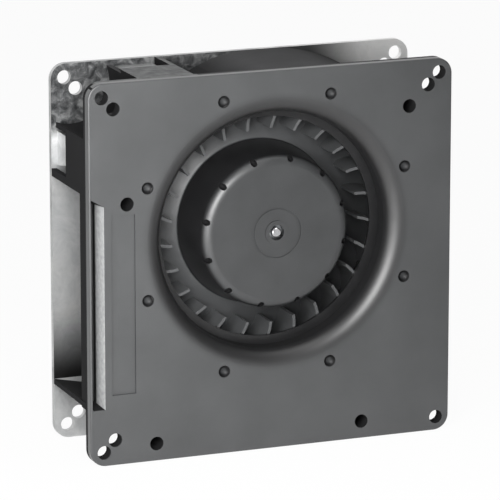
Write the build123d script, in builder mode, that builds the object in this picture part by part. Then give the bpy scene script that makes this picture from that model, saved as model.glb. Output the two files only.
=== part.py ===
from build123d import *
from math import asin, atan2, cos, degrees, hypot, radians, sin, sqrt, tan
import os

os.makedirs("parts", exist_ok=True)

# Compact radial blower: air enters the round inlet in front and leaves by the mouth on the left.
# Millimetres. X is to the right, Y goes back from the inlet side and Z is up.
# The origin is the middle of the footprint, so the blower stands on its lower edges at Z = 0.
# A place in plan is (right, up) from the middle of the square plates.
# A distance called "back" is measured behind the front face.

# Overall outline
plate_size = 121.0
depth = 37.0
corner_r = 5.0

# Fits between pieces
seat_gap = 0.02
spigot_gap = 0.1

# Impeller axis, from the middle of the square plates
axis_right = 1.6
axis_up = 9.0

# Front plate and walls of the housing
face_t = 2.6
rim_depth = 4.5
rim_w = 1.8
wall_t = 1.6
edge_round = 0.5

# Mounting holes on each corner's diagonal, and the recess that bares the upper left ones
hole_d = 4.4
outer_hole_inset = 4.4
inner_hole_inset = 8.1
hole_pad_d = 7.6
recess_r = 13.0
recess_inset = 6.3

# Bosses that take the housing screws
boss_d = 8.4
boss_bore_d = 4.4
boss_bore_depth = 20.0
pilot_depth = 10.0
corner_boss_inset = 14.5
low_boss_inset = 5.6
low_right_boss_inset = 30.2
low_left_boss_inset = 21.7
low_boss_rib_t = 1.6

# Scroll in plan
tongue_inset = 12.45
tongue_gap = 3.2
tongue_angle = 165.0
leave_angle = 115.0
crown_r = 40.0
shoulder_widening = 2.0
heel_r = 24.4
floor_r = 30.0
floor_turn_inset = 28.9
outlet_top_inset = 35.5
outlet_bottom_inset = 19.7

# Closed corner block between the scroll and the upper left corner
block_w = 36.0

# Outlet lip, with its core-out slot in the front face
lip_depth = 9.2
lip_inset = 0.3
lip_flat_w = 6.7
lip_ramp_w = 7.5
slot_rim = 0.7
slot_w = 4.2
slot_floor_t = 1.0
slot_end_t = 0.8
slot_draft = 6.0

# Shallow sunk panel beside the slot
panel_inset = 7.2
panel_w = 7.8
panel_top_gap = 6.0
panel_bottom_gap = 2.8
panel_depth = 0.6

# Inlet nozzle
throat_step = 6.2
mouth_round = 5.2
nozzle_end_back = 8.8

# Ring of dimples round the inlet
dimple_count = 8
dimple_gap = 3.5
dimple_r = 1.95
dimple_depth = 1.4

# Impeller blades, front ring and cone
ring_w = 8.7
ring_back = 9.8
ring_t = 1.2
blade_count = 25
blade_w = 12.7
blade_t = 0.9
blade_lean = -9.0
blade_curve_r = 17.0
blade_step = 0.7
cone_foot_r = 26.3
cone_foot_back = 18.5
cone_bend_r = 1.2
cone_rim_to_plate = 5.6
cone_t = 1.4

# Impeller hub
hub_face_back = 0.8
hub_r = 24.2
hub_round = 3.2
hub_cap_t = 1.8
hub_skirt_t = 2.0
hub_collar_r = 3.8
hub_collar_h = 0.3
hub_hole_d = 4.8
hub_groove_r = 7.8
hub_groove_w = 0.7
hub_groove_depth = 0.25
pocket_count = 12
pocket_d = 2.0
pocket_ring_r = 23.5
pocket_depth = 3.2
pocket_first_angle = 18.0

# Rotor yoke and magnet
yoke_r = 21.8
yoke_t = 1.1
yoke_to_plate = 5.0
collar_r = 3.3
collar_end_back = 8.2
magnet_t = 2.4
magnet_length = 17.0
magnet_inset = 1.0

# Shaft
shaft_d = 3.0
shaft_tip_back = 0.4
shaft_to_plate = 0.4
shaft_chamfer = 0.3

# Ball bearings, one size
bearing_d = 8.0
bearing_w = 4.0
front_bearing_back = 9.0
rear_bearing_to_plate = 7.0
race_t = 0.78
ball_count = 7
ball_d = 1.44
groove_clearance = 0.06
cage_t = 0.55
cage_w = 2.3
pocket_clearance = 0.1
shield_t = 0.2
shield_inset = 0.15
shield_gap = 0.12

# Bearing tube and the plug that closes it
tube_d = 11.0
tube_shoulder_h = 0.6
tube_lead = 0.5
tube_end_inset = 1.6
plug_cap_t = 0.8
plug_depth = 1.4
plug_wall_t = 0.9

# Stator
stack_length = 12.0
stack_to_plate = 9.5
air_gap = 0.6
core_r = 9.0
pole_count = 4
pole_first_angle = 45.0
pole_w = 5.2
pole_tip_t = 1.6
slot_opening_w = 4.6
insulator_t = 0.9
insulator_wall_t = 1.2
insulator_wall_h = 2.6
coil_t = 2.3
coil_gap = 0.1

# Circuit board and what is soldered to it
board_margin = 1.92
board_hole_r = 6.2
board_t = 1.0
board_to_plate = 4.4
pin_d = 0.7
pin_seat_depth = 1.6
pin_stub = 0.3
post_d = 2.0
post_peg_d = 1.2
post_ring_r = 7.8
sensor_w = 3.0
sensor_t = 1.6
sensor_h = 1.2
sensor_inset = 2.0
chip_w = 4.4
chip_l = 3.8
chip_h = 1.0
chip_inset = 6.0
capacitor_d = 4.0
capacitor_h = 1.3
capacitor_inset = 5.2

# Motor flange
flange_r = 30.0
flange_t = 2.0
flange_boss_r = 8.6
flange_boss_h = 0.9
dish_r = 22.0
dish_depth = 1.4
spigot_r = 23.8
spigot_h = 1.8

# Countersunk screws
screw_d = 2.9
screw_head_d = 5.4
screw_head_inset = 0.1
screw_hole_d = 3.3
screw_tip_chamfer = 0.3
screw_cross_w = 0.7
screw_cross_l = 3.0
screw_cross_depth = 0.9
housing_screw_l = 10.5
motor_screw_l = 3.6
motor_screw_count = 4
motor_screw_ring_r = 27.2
motor_screw_first_angle = 45.0

# Rear plate with its two lugs
base_t = 2.0
lug_t = 1.5
lug_inset = 2.0
lug_length = 12.8
lug_clearance = 0.9
lug_end_inset = 21.3
side_lug_w = 10.9
side_lug_slant = 2.2
top_lug_w = 12.4

# Cable grommet
grommet_ring_r = 16.0
grommet_angle = 250.0
grommet_d = 6.0
grommet_flange_d = 8.6
grommet_flange_t = 0.7
grommet_bore_d = 3.4

# Bearing preload and axial hold of the shaft
spring_t = 0.25
spring_inner_r = 1.6
spring_outer_r = 2.9
washer_t = 0.4
washer_r = 2.25
clip_t = 0.4
clip_r = 2.9
clip_groove_r = 1.1
clip_mouth_w = 1.6

# Places that follow from the sizes above
half = plate_size / 2
seam_back = depth - base_t
housing_end_back = seam_back - seat_gap
axis_height = half + axis_up
hub = (axis_right, axis_up)
boss_r = boss_d / 2
tongue_reach = (half + axis_right - tongue_inset) / cos(radians(180 - tongue_angle))
run_r = tongue_reach - boss_r
impeller_r = run_r - tongue_gap
ring_inner_r = impeller_r - ring_w
blade_inner_r = impeller_r - blade_w
throat_r = impeller_r - throat_step
mouth_r = throat_r + mouth_round
dimple_ring_r = mouth_r + dimple_gap
shaft_r = shaft_d / 2
tube_r = tube_d / 2
air_limit = half - wall_t
outlet_top = half - outlet_top_inset
outlet_bottom = outlet_bottom_inset - half
blade_front_back = ring_back + blade_step
cone_rim_back = seam_back - cone_rim_to_plate
bore_r = yoke_r + seat_gap
yoke_front_back = hub_face_back + hub_cap_t + seat_gap
yoke_rim_back = seam_back - yoke_to_plate
magnet_r = yoke_r - yoke_t - seat_gap
magnet_end_back = yoke_rim_back - magnet_inset
stator_r = magnet_r - magnet_t - air_gap
pin_ring_r = stator_r - pole_tip_t + insulator_wall_t / 2
board_r = pin_ring_r + board_margin
stack_end_back = seam_back - stack_to_plate
stack_front_back = stack_end_back - stack_length
board_back = seam_back - board_to_plate
board_end_back = board_back + board_t
rear_bearing_back = seam_back - rear_bearing_to_plate
shaft_end_back = seam_back - shaft_to_plate
tube_front_back = front_bearing_back - tube_lead
tube_end_back = depth - tube_end_inset
flange_back = housing_end_back - flange_t
dish_back = flange_back + dish_depth
spigot_end_back = housing_end_back + spigot_h
washer_back = rear_bearing_back + bearing_w + seat_gap
clip_back = washer_back + washer_t + 2 * seat_gap
ball_pitch_r = (shaft_r + bearing_d / 2) / 2
screw_r = screw_d / 2
screw_head_back = depth - screw_head_inset


def plate_plane(back):
    """Plane that looks forward, with its origin in the middle of the square plates."""
    return Plane(origin=(0, back - depth / 2, half), x_dir=(1, 0, 0), z_dir=(0, -1, 0))


def hub_plane(back):
    """Plane that looks forward, with its origin on the impeller axis."""
    return Plane(origin=(axis_right, back - depth / 2, axis_height), x_dir=(1, 0, 0), z_dir=(0, -1, 0))


def level_plane(height):
    """Plane that looks up, in which the second coordinate is the distance back."""
    return Plane(origin=(0, -depth / 2, height), x_dir=(1, 0, 0), z_dir=(0, 0, 1))


def hub_section():
    """Plane through the impeller axis, for outlines of (radius, back) that are revolved about it."""
    return Plane(origin=(axis_right, -depth / 2, axis_height), x_dir=(1, 0, 0), z_dir=(0, 0, 1))


def round_hub(radius, angle):
    """Place in plan at a radius and an angle about the impeller axis."""
    return (axis_right + radius * cos(radians(angle)), axis_up + radius * sin(radians(angle)))


def turned(place, points, mode=Mode.ADD):
    """Turn a closed outline of (radius, back) points about an axis through a place in plan."""
    centre = Vector(place[0], -depth / 2, half + place[1])
    with BuildSketch(Plane(origin=centre, x_dir=(1, 0, 0), z_dir=(0, 0, 1))) as outline:
        with BuildLine():
            Polyline(*points, close=True)
        make_face()
    revolve(outline.sketch.faces(), axis=Axis(centre, (0, 1, 0)), mode=mode)


def turned_ring(place, inner_r, outer_r, back, end_back, mode=Mode.ADD):
    """Turn a plain ring, or a disc where the inner radius is nought."""
    turned(place, [(inner_r, back), (outer_r, back), (outer_r, end_back), (inner_r, end_back)], mode)


def countersunk_hole(place):
    """Sink a clear screw hole with its head cone into the rear plate."""
    cone_r = screw_head_d / 2 + screw_head_inset + seat_gap
    clear_r = screw_hole_d / 2
    cone_back = depth - (cone_r - clear_r)
    points = [(0, seam_back), (clear_r, seam_back), (clear_r, cone_back), (cone_r, depth), (0, depth)]
    turned(place, points, Mode.SUBTRACT)


def countersunk_screw(place, length):
    """Turn a screw whose head lies just below the rear face."""
    head_r = screw_head_d / 2
    neck_back = screw_head_back - (head_r - screw_r)
    tip_back = screw_head_back - length
    tip_r = screw_r - screw_tip_chamfer
    points = [(0, tip_back), (tip_r, tip_back), (screw_r, tip_back + screw_tip_chamfer)]
    points += [(screw_r, neck_back), (head_r, screw_head_back), (0, screw_head_back)]
    turned(place, points)


# Places that several pieces share
boss_places = [
    (half - corner_boss_inset, half - corner_boss_inset),
    round_hub(tongue_reach, tongue_angle),
    (half - low_right_boss_inset, low_boss_inset - half),
    (low_left_boss_inset - half, low_boss_inset - half),
]
tongue = boss_places[1]
motor_screw_places = [
    round_hub(motor_screw_ring_r, motor_screw_first_angle + 360 * index / motor_screw_count)
    for index in range(motor_screw_count)
]
grommet_place = round_hub(grommet_ring_r, grommet_angle)
pole_angles = [pole_first_angle + 360 * index / pole_count for index in range(pole_count)]
gap_angles = [angle + 180 / pole_count for angle in pole_angles]
outer_hole = half - outer_hole_inset
inner_hole = half - inner_hole_inset
hole_places = [(outer_hole, outer_hole), (-outer_hole, outer_hole), (-outer_hole, -outer_hole)]
hole_places += [(inner_hole, inner_hole), (-inner_hole, inner_hole), (-inner_hole, -inner_hole)]
hole_places += [(outer_hole, -outer_hole)]

# Outlet ceiling: a straight line from the mouth that touches the tongue boss from below
mouth_top = (-half, outlet_top)
mouth_bottom = (-half, outlet_bottom)
tongue_distance = hypot(tongue[0] + half, tongue[1] - outlet_top)
tongue_direction = degrees(atan2(tongue[1] - outlet_top, tongue[0] + half))
ceiling_angle = tongue_direction - degrees(asin(boss_r / tongue_distance))
ceiling_length = sqrt(tongue_distance**2 - boss_r**2)

# Where the scroll leaves its even run over the impeller and climbs to the top wall
leave_place = round_hub(run_r, leave_angle)
crown_right = leave_place[0] + (air_limit - leave_place[1]) / tan(radians(leave_angle - 90))

# Air space in plan, clockwise from the mouth: ceiling, tongue, even run, shoulder, heel and floor
with BuildSketch(plate_plane(housing_end_back)) as air:
    with BuildLine():
        PolarLine(mouth_top, ceiling_length, ceiling_angle)
        CenterArc(tongue, boss_r, ceiling_angle - 90, tongue_angle - 90 - ceiling_angle)
        CenterArc(hub, run_r, tongue_angle, leave_angle - tongue_angle)
        FilletPolyline(
            leave_place,
            (crown_right, air_limit),
            (air_limit, air_limit),
            (air_limit, -air_limit),
            (air_limit - floor_turn_inset, -air_limit),
            mouth_bottom,
            radius=(crown_r, impeller_r + shoulder_widening, heel_r, floor_r),
        )
        Line(mouth_bottom, mouth_top)
    make_face()

# Scroll wall in plan
with BuildSketch(plate_plane(housing_end_back)) as scroll_wall:
    offset(air.sketch_local, amount=wall_t)
    add(air.sketch_local, mode=Mode.SUBTRACT)
    Rectangle(plate_size, plate_size, mode=Mode.INTERSECT)

# Corner block in plan
with BuildSketch(plate_plane(housing_end_back)) as block:
    with Locations((-half, half)):
        Rectangle(block_w, half, align=(Align.MIN, Align.MAX))
    with Locations((recess_inset - half, half - recess_inset)):
        Circle(recess_r, mode=Mode.SUBTRACT)
    add(air.sketch_local, mode=Mode.SUBTRACT)

# Wall of the corner block in plan
with BuildSketch(plate_plane(housing_end_back)) as block_wall:
    add(block.sketch_local)
    offset(block.sketch_local, amount=-wall_t, kind=Kind.INTERSECTION, mode=Mode.SUBTRACT)

# Outlet lip in plan, between the outsides of the duct's two walls
slot_bottom = outlet_bottom - wall_t
with BuildSketch(plate_plane(lip_depth)) as lip_plan:
    offset(air.sketch_local, amount=wall_t)
    with Locations((-half, slot_bottom - slot_end_t)):
        Rectangle(lip_inset + lip_flat_w, wall_t + slot_end_t, align=(Align.MIN, Align.MIN))

# Outlet lip: a flat-backed block that ramps down to the front plate inside the duct
lip_left = lip_inset - half
with BuildPart() as lip:
    with BuildSketch(level_plane(0)):
        with BuildLine():
            Polyline(
                (lip_left, 0),
                (lip_left, lip_depth),
                (lip_left + lip_flat_w, lip_depth),
                (lip_left + lip_flat_w + lip_ramp_w, face_t),
                (lip_left + lip_flat_w + lip_ramp_w, 0),
                close=True,
            )
        make_face()
    extrude(amount=plate_size)
    extrude(lip_plan.sketch, amount=lip_depth - edge_round, mode=Mode.INTERSECT)

# Front housing, one moulding: front plate, nozzle, scroll wall, corner block, bosses and outlet lip
with BuildPart() as front_housing:
    # Front plate with its turned-down rim
    with BuildSketch(plate_plane(rim_depth)):
        RectangleRounded(plate_size, plate_size, corner_r)
    extrude(amount=rim_depth)
    fillet(front_housing.faces().sort_by(Axis.Y)[0].edges(), edge_round)
    with BuildSketch(plate_plane(rim_depth)):
        RectangleRounded(plate_size - 2 * rim_w, plate_size - 2 * rim_w, corner_r - rim_w)
        with Locations(*hole_places):
            Circle(hole_pad_d / 2, mode=Mode.SUBTRACT)
    extrude(amount=rim_depth - face_t, mode=Mode.SUBTRACT)

    # Walls that stand on the plate and reach the rear plate
    extrude(scroll_wall.sketch, amount=housing_end_back - face_t)
    extrude(block_wall.sketch, amount=housing_end_back - face_t)
    with BuildSketch(plate_plane(housing_end_back)):
        with Locations(*boss_places):
            Circle(boss_r)
        with Locations(boss_places[3]):
            Rectangle(low_boss_rib_t, -slot_bottom, align=(Align.CENTER, Align.MIN))
        add(air.sketch_local, mode=Mode.SUBTRACT)
        with Locations(boss_places[0], boss_places[2]):
            Circle(boss_r)
    extrude(amount=housing_end_back - face_t)

    # Outlet lip and its slot, which narrows towards its floor
    add(lip.part)
    slot_left = slot_rim - half
    slot_right = slot_left + slot_w
    ceiling_slope = tan(radians(ceiling_angle))
    with BuildSketch(plate_plane(0)):
        with BuildLine():
            Polyline(
                (slot_left, slot_bottom),
                (slot_right, slot_bottom),
                (slot_right, outlet_top + ceiling_slope * (slot_right + half)),
                (slot_left, outlet_top + ceiling_slope * (slot_left + half)),
                close=True,
            )
        make_face()
    extrude(amount=slot_floor_t - lip_depth, taper=slot_draft, mode=Mode.SUBTRACT)

    # Notches in the block's walls that bare the rear plate's lugs
    notch_bottom = half - lug_end_inset - side_lug_w - lug_clearance
    with BuildSketch(plate_plane(housing_end_back)):
        with Locations((-half, notch_bottom)):
            Rectangle(wall_t, half - recess_inset - notch_bottom, align=(Align.MIN, Align.MIN))
        with Locations((block_w - half - wall_t, half)):
            Rectangle(block_w - wall_t - recess_inset, wall_t, align=(Align.MAX, Align.MAX))
    extrude(amount=lug_length + lug_clearance, mode=Mode.SUBTRACT)

    # Inlet nozzle: rounded mouth, then a short straight throat
    turned_ring(hub, 0, mouth_r, 0, lip_depth, Mode.SUBTRACT)
    with BuildSketch(hub_section()):
        with BuildLine():
            CenterArc((mouth_r, mouth_round), mouth_round, 180, 90)
            Polyline(
                (throat_r, mouth_round),
                (throat_r, nozzle_end_back),
                (throat_r + wall_t, nozzle_end_back),
                (throat_r + wall_t, mouth_round),
                (mouth_r, face_t),
                (mouth_r + wall_t, face_t),
                (mouth_r + wall_t, 0),
                (mouth_r, 0),
            )
        make_face()
    revolve(axis=Axis((axis_right, 0, axis_height), (0, 1, 0)))

    # Shallow panel and dimples in the front face
    panel_bottom = outlet_bottom + panel_bottom_gap
    with BuildSketch(plate_plane(panel_depth)):
        with Locations((panel_inset - half, panel_bottom)):
            Rectangle(panel_w, outlet_top - panel_top_gap - panel_bottom, align=(Align.MIN, Align.MIN))
    extrude(amount=panel_depth, mode=Mode.SUBTRACT)
    dimple_ball_r = (dimple_r**2 + dimple_depth**2) / (2 * dimple_depth)
    with Locations(hub_plane(dimple_depth - dimple_ball_r)):
        with PolarLocations(dimple_ring_r, dimple_count, start_angle=180 / dimple_count):
            Sphere(dimple_ball_r, mode=Mode.SUBTRACT)

    # Mounting holes, blind bores in the bosses and pilot holes for the screws
    for place in hole_places:
        turned_ring(place, 0, hole_d / 2, 0, rim_depth, Mode.SUBTRACT)
    for place in boss_places:
        turned_ring(place, 0, boss_bore_d / 2, 0, boss_bore_depth, Mode.SUBTRACT)
        turned_ring(place, 0, screw_r + seat_gap, seam_back - pilot_depth, seam_back, Mode.SUBTRACT)

front_housing.part.label = "front_housing"
export_step(front_housing.part, "parts/front_housing.step")

# Rear plate, die-cast, with two lugs that stand in the corner block
lug_front_back = seam_back - lug_length
side_lug_top = half - lug_end_inset
side_lug_bottom = side_lug_top - side_lug_w
with BuildPart() as rear_plate:
    with BuildSketch(plate_plane(depth)):
        RectangleRounded(plate_size, plate_size, corner_r)
    extrude(amount=base_t)
    with BuildSketch(
        Plane(origin=(lug_inset + lug_t - half, -depth / 2, half), x_dir=(0, 0, 1), z_dir=(-1, 0, 0))
    ):
        with BuildLine():
            Polyline(
                (side_lug_bottom, seam_back),
                (side_lug_bottom + side_lug_slant, lug_front_back),
                (side_lug_top, lug_front_back),
                (side_lug_top, seam_back),
                close=True,
            )
        make_face()
    extrude(amount=lug_t)
    with BuildSketch(level_plane(plate_size - lug_inset - lug_t)):
        with Locations((lug_end_inset - half, seam_back)):
            Rectangle(top_lug_w, lug_length, align=(Align.MIN, Align.MAX))
    extrude(amount=lug_t)
    turned_ring(hub, 0, spigot_r + spigot_gap, seam_back, depth, Mode.SUBTRACT)
    for place in hole_places:
        turned_ring(place, 0, hole_d / 2, seam_back, depth, Mode.SUBTRACT)
    for place in boss_places + motor_screw_places:
        countersunk_hole(place)

rear_plate.part.label = "rear_plate"
export_step(rear_plate.part, "parts/rear_plate.step")

# Blade in plan: leaves the inner edge nearly along the radius and curves forward
with BuildSketch() as blade:
    with BuildLine():
        blade_root = Line(
            (blade_inner_r - blade_t * cos(radians(blade_lean)), -blade_t * sin(radians(blade_lean))),
            (blade_inner_r, 0),
        )
        JernArc(blade_root @ 1, blade_root % 1, blade_curve_r, -60)
    trace(line_width=blade_t)

# All the blades, cut to the shape of the space between the cone and the front ring
with BuildPart() as blades:
    with BuildSketch(hub_plane(cone_rim_back)):
        with PolarLocations(0, blade_count):
            add(blade.sketch_local)
        Circle(impeller_r, mode=Mode.INTERSECT)
        Circle(blade_inner_r, mode=Mode.SUBTRACT)
    extrude(amount=cone_rim_back - blade_front_back)
    cone_middle = cone_t / 2
    turned(
        hub,
        [
            (cone_foot_r, blade_front_back),
            (impeller_r, blade_front_back),
            (impeller_r, cone_rim_back + cone_middle),
            (cone_foot_r, cone_foot_back + cone_middle),
        ],
        Mode.INTERSECT,
    )

# Impeller, one moulding: hub cap, skirt, cone, blades and front ring
with BuildPart() as impeller:
    cone_angle = atan2(cone_rim_back - cone_foot_back, impeller_r - cone_foot_r)
    cone_back_drop = cone_t / cos(cone_angle)
    skirt_r = bore_r + hub_skirt_t
    skirt_end_back = yoke_rim_back - yoke_t / 2
    under_foot_back = cone_foot_back + cone_back_drop
    under_join_back = under_foot_back - (cone_foot_r - skirt_r) * tan(cone_angle)
    with BuildSketch(hub_section()):
        with BuildLine():
            FilletPolyline(
                (hub_collar_r, hub_face_back),
                (hub_r, hub_face_back),
                (cone_foot_r, cone_foot_back),
                (impeller_r, cone_rim_back),
                radius=(hub_round, cone_bend_r),
            )
            Polyline(
                (impeller_r, cone_rim_back),
                (impeller_r, cone_rim_back + cone_back_drop),
                (skirt_r, under_join_back),
                (skirt_r, skirt_end_back),
                (bore_r, skirt_end_back),
                (bore_r, hub_face_back + hub_cap_t),
                (hub_hole_d / 2, hub_face_back + hub_cap_t),
                (hub_hole_d / 2, hub_face_back - hub_collar_h),
                (hub_collar_r, hub_face_back - hub_collar_h),
                (hub_collar_r, hub_face_back),
            )
        make_face()
    revolve(axis=Axis((axis_right, 0, axis_height), (0, 1, 0)))
    add(blades.part)
    turned_ring(hub, ring_inner_r, impeller_r, ring_back, ring_back + ring_t)
    turned_ring(
        hub,
        hub_groove_r - hub_groove_w / 2,
        hub_groove_r + hub_groove_w / 2,
        hub_face_back,
        hub_face_back + hub_groove_depth,
        Mode.SUBTRACT,
    )
    with BuildSketch(hub_plane(hub_face_back + pocket_depth)):
        with PolarLocations(pocket_ring_r, pocket_count, start_angle=pocket_first_angle):
            Circle(pocket_d / 2)
    extrude(amount=pocket_depth, mode=Mode.SUBTRACT)

impeller.part.label = "impeller"
export_step(impeller.part, "parts/impeller.step")

# Rotor yoke, deep-drawn, with the collar that grips the shaft
with BuildPart() as rotor_yoke:
    turned(
        hub,
        [
            (shaft_r + seat_gap, yoke_front_back),
            (yoke_r, yoke_front_back),
            (yoke_r, yoke_rim_back),
            (yoke_r - yoke_t, yoke_rim_back),
            (yoke_r - yoke_t, yoke_front_back + yoke_t),
            (collar_r, yoke_front_back + yoke_t),
            (collar_r, collar_end_back),
            (shaft_r + seat_gap, collar_end_back),
        ],
    )

rotor_yoke.part.label = "rotor_yoke"
export_step(rotor_yoke.part, "parts/rotor_yoke.step")

# Ring magnet in the yoke
with BuildPart() as rotor_magnet:
    turned_ring(hub, magnet_r - magnet_t, magnet_r, magnet_end_back - magnet_length, magnet_end_back)

rotor_magnet.part.label = "rotor_magnet"
export_step(rotor_magnet.part, "parts/rotor_magnet.step")

# Shaft with a groove for the retaining ring
clip_groove_end_back = clip_back + clip_t + seat_gap
with BuildPart() as rotor_shaft:
    turned(
        hub,
        [
            (0, shaft_tip_back),
            (shaft_r - shaft_chamfer, shaft_tip_back),
            (shaft_r, shaft_tip_back + shaft_chamfer),
            (shaft_r, clip_back - seat_gap),
            (clip_groove_r, clip_back - seat_gap),
            (clip_groove_r, clip_groove_end_back),
            (shaft_r, clip_groove_end_back),
            (shaft_r, shaft_end_back - shaft_chamfer),
            (shaft_r - shaft_chamfer, shaft_end_back),
            (0, shaft_end_back),
        ],
    )

rotor_shaft.part.label = "rotor_shaft"
export_step(rotor_shaft.part, "parts/rotor_shaft.step")

# Disc spring between the yoke's collar and the front bearing's inner race
spring_front_back = collar_end_back + seat_gap
spring_end_back = front_bearing_back - seat_gap
with BuildPart() as disc_spring:
    turned(
        hub,
        [
            (spring_inner_r, spring_end_back - spring_t),
            (spring_outer_r, spring_front_back),
            (spring_outer_r, spring_front_back + spring_t),
            (spring_inner_r, spring_end_back),
        ],
    )

disc_spring.part.label = "disc_spring"
export_step(disc_spring.part, "parts/disc_spring.step")

# Thrust washer behind the rear bearing's inner race
with BuildPart() as thrust_washer:
    turned_ring(hub, shaft_r + seat_gap, washer_r, washer_back, washer_back + washer_t)

thrust_washer.part.label = "thrust_washer"
export_step(thrust_washer.part, "parts/thrust_washer.step")

# Open retaining ring in the shaft's groove
with BuildPart() as retaining_ring:
    with BuildSketch(hub_plane(clip_back + clip_t)):
        Circle(clip_r)
        Circle(clip_groove_r + seat_gap, mode=Mode.SUBTRACT)
        Rectangle(clip_mouth_w, clip_r, align=(Align.CENTER, Align.MAX), mode=Mode.SUBTRACT)
    extrude(amount=clip_t)

retaining_ring.part.label = "retaining_ring"
export_step(retaining_ring.part, "parts/retaining_ring.step")

# Two equal ball bearings, each with races, balls, cage and shields
outer_race_inner_r = bearing_d / 2 - race_t
inner_race_outer_r = shaft_r + race_t
for bearing, bearing_back in {"front": front_bearing_back, "rear": rear_bearing_back}.items():
    bearing_end_back = bearing_back + bearing_w
    bearing_middle_back = bearing_back + bearing_w / 2

    # Torus that both races leave free for the balls
    with BuildPart() as ball_track:
        with BuildSketch(hub_section()):
            with Locations((ball_pitch_r, bearing_middle_back)):
                Circle(ball_d / 2 + groove_clearance)
        revolve(axis=Axis((axis_right, 0, axis_height), (0, 1, 0)))

    with BuildPart() as outer_race:
        turned_ring(hub, outer_race_inner_r, bearing_d / 2, bearing_back, bearing_end_back)
        add(ball_track.part, mode=Mode.SUBTRACT)

    outer_race.part.label = f"{bearing}_bearing_outer_race"
    export_step(outer_race.part, f"parts/{bearing}_bearing_outer_race.step")

    with BuildPart() as inner_race:
        turned_ring(hub, shaft_r + seat_gap, inner_race_outer_r, bearing_back, bearing_end_back)
        add(ball_track.part, mode=Mode.SUBTRACT)

    inner_race.part.label = f"{bearing}_bearing_inner_race"
    export_step(inner_race.part, f"parts/{bearing}_bearing_inner_race.step")

    with BuildPart(hub_plane(bearing_middle_back)) as balls:
        with PolarLocations(ball_pitch_r, ball_count):
            Sphere(ball_d / 2)

    balls.part.label = f"{bearing}_bearing_balls"
    export_step(balls.part, f"parts/{bearing}_bearing_balls.step")

    with BuildPart(hub_plane(bearing_middle_back)) as cage:
        turned_ring(
            hub,
            ball_pitch_r - cage_t / 2,
            ball_pitch_r + cage_t / 2,
            bearing_middle_back - cage_w / 2,
            bearing_middle_back + cage_w / 2,
        )
        with PolarLocations(ball_pitch_r, ball_count):
            Cylinder(ball_d / 2 + pocket_clearance, cage_w, rotation=(0, 90, 0), mode=Mode.SUBTRACT)

    cage.part.label = f"{bearing}_bearing_cage"
    export_step(cage.part, f"parts/{bearing}_bearing_cage.step")

    with BuildPart() as shields:
        for shield_back in (bearing_back + shield_inset, bearing_end_back - shield_inset - shield_t):
            turned_ring(
                hub,
                inner_race_outer_r + shield_gap,
                outer_race_inner_r - seat_gap,
                shield_back,
                shield_back + shield_t,
            )

    shields.part.label = f"{bearing}_bearing_shields"
    export_step(shields.part, f"parts/{bearing}_bearing_shields.step")

# Bearing tube: two bearing seats with a shoulder between them
tube_bore_r = bearing_d / 2 + seat_gap
shoulder_r_inner = tube_bore_r - tube_shoulder_h
shoulder_front_back = front_bearing_back + bearing_w + seat_gap
shoulder_end_back = rear_bearing_back - seat_gap
with BuildPart() as bearing_tube:
    turned_ring(hub, shoulder_r_inner, tube_r, tube_front_back, tube_end_back)
    turned_ring(hub, 0, tube_bore_r, tube_front_back, shoulder_front_back, Mode.SUBTRACT)
    turned_ring(hub, 0, tube_bore_r, shoulder_end_back, tube_end_back, Mode.SUBTRACT)

bearing_tube.part.label = "bearing_tube"
export_step(bearing_tube.part, "parts/bearing_tube.step")

# Plug that closes the bearing tube behind the shaft
plug_back = tube_end_back + seat_gap
plug_skirt_r = tube_bore_r - seat_gap
with BuildPart() as tube_plug:
    turned_ring(hub, 0, tube_r, plug_back, plug_back + plug_cap_t)
    turned_ring(hub, plug_skirt_r - plug_wall_t, plug_skirt_r, plug_back - plug_depth, plug_back)

tube_plug.part.label = "tube_plug"
export_step(tube_plug.part, "parts/tube_plug.step")

# Stator lamination in plan
with BuildSketch(hub_plane(stack_end_back)) as lamination:
    Circle(stator_r)
    Circle(stator_r - pole_tip_t, mode=Mode.SUBTRACT)
    with PolarLocations(stator_r, pole_count, start_angle=gap_angles[0]):
        Rectangle(4 * pole_tip_t, slot_opening_w, mode=Mode.SUBTRACT)
    Circle(core_r)
    with PolarLocations(0, pole_count, start_angle=pole_first_angle):
        Rectangle(stator_r - pole_tip_t / 2, pole_w, align=(Align.MIN, Align.CENTER))
    Circle(tube_r + seat_gap, mode=Mode.SUBTRACT)

# Laminated stator core on the bearing tube
with BuildPart() as stator_core:
    extrude(lamination.sketch, amount=stack_length)

stator_core.part.label = "stator_core"
export_step(stator_core.part, "parts/stator_core.step")

# Coil-side walls of the insulators in plan
with BuildSketch(hub_plane(stack_end_back)) as insulator_walls:
    add(lamination.sketch_local)
    Circle(stator_r - pole_tip_t + insulator_wall_t, mode=Mode.INTERSECT)
    Circle(stator_r - pole_tip_t, mode=Mode.SUBTRACT)
    Circle(core_r)
    Circle(core_r - insulator_wall_t, mode=Mode.SUBTRACT)

# Front insulator
front_insulator_front_back = stack_front_back - seat_gap - insulator_t
with BuildPart() as front_insulator:
    with BuildSketch(hub_plane(stack_front_back - seat_gap)):
        add(lamination.sketch_local)
    extrude(amount=insulator_t)
    with BuildSketch(hub_plane(front_insulator_front_back)):
        add(insulator_walls.sketch_local)
    extrude(amount=insulator_wall_h)

front_insulator.part.label = "front_insulator"
export_step(front_insulator.part, "parts/front_insulator.step")

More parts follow.
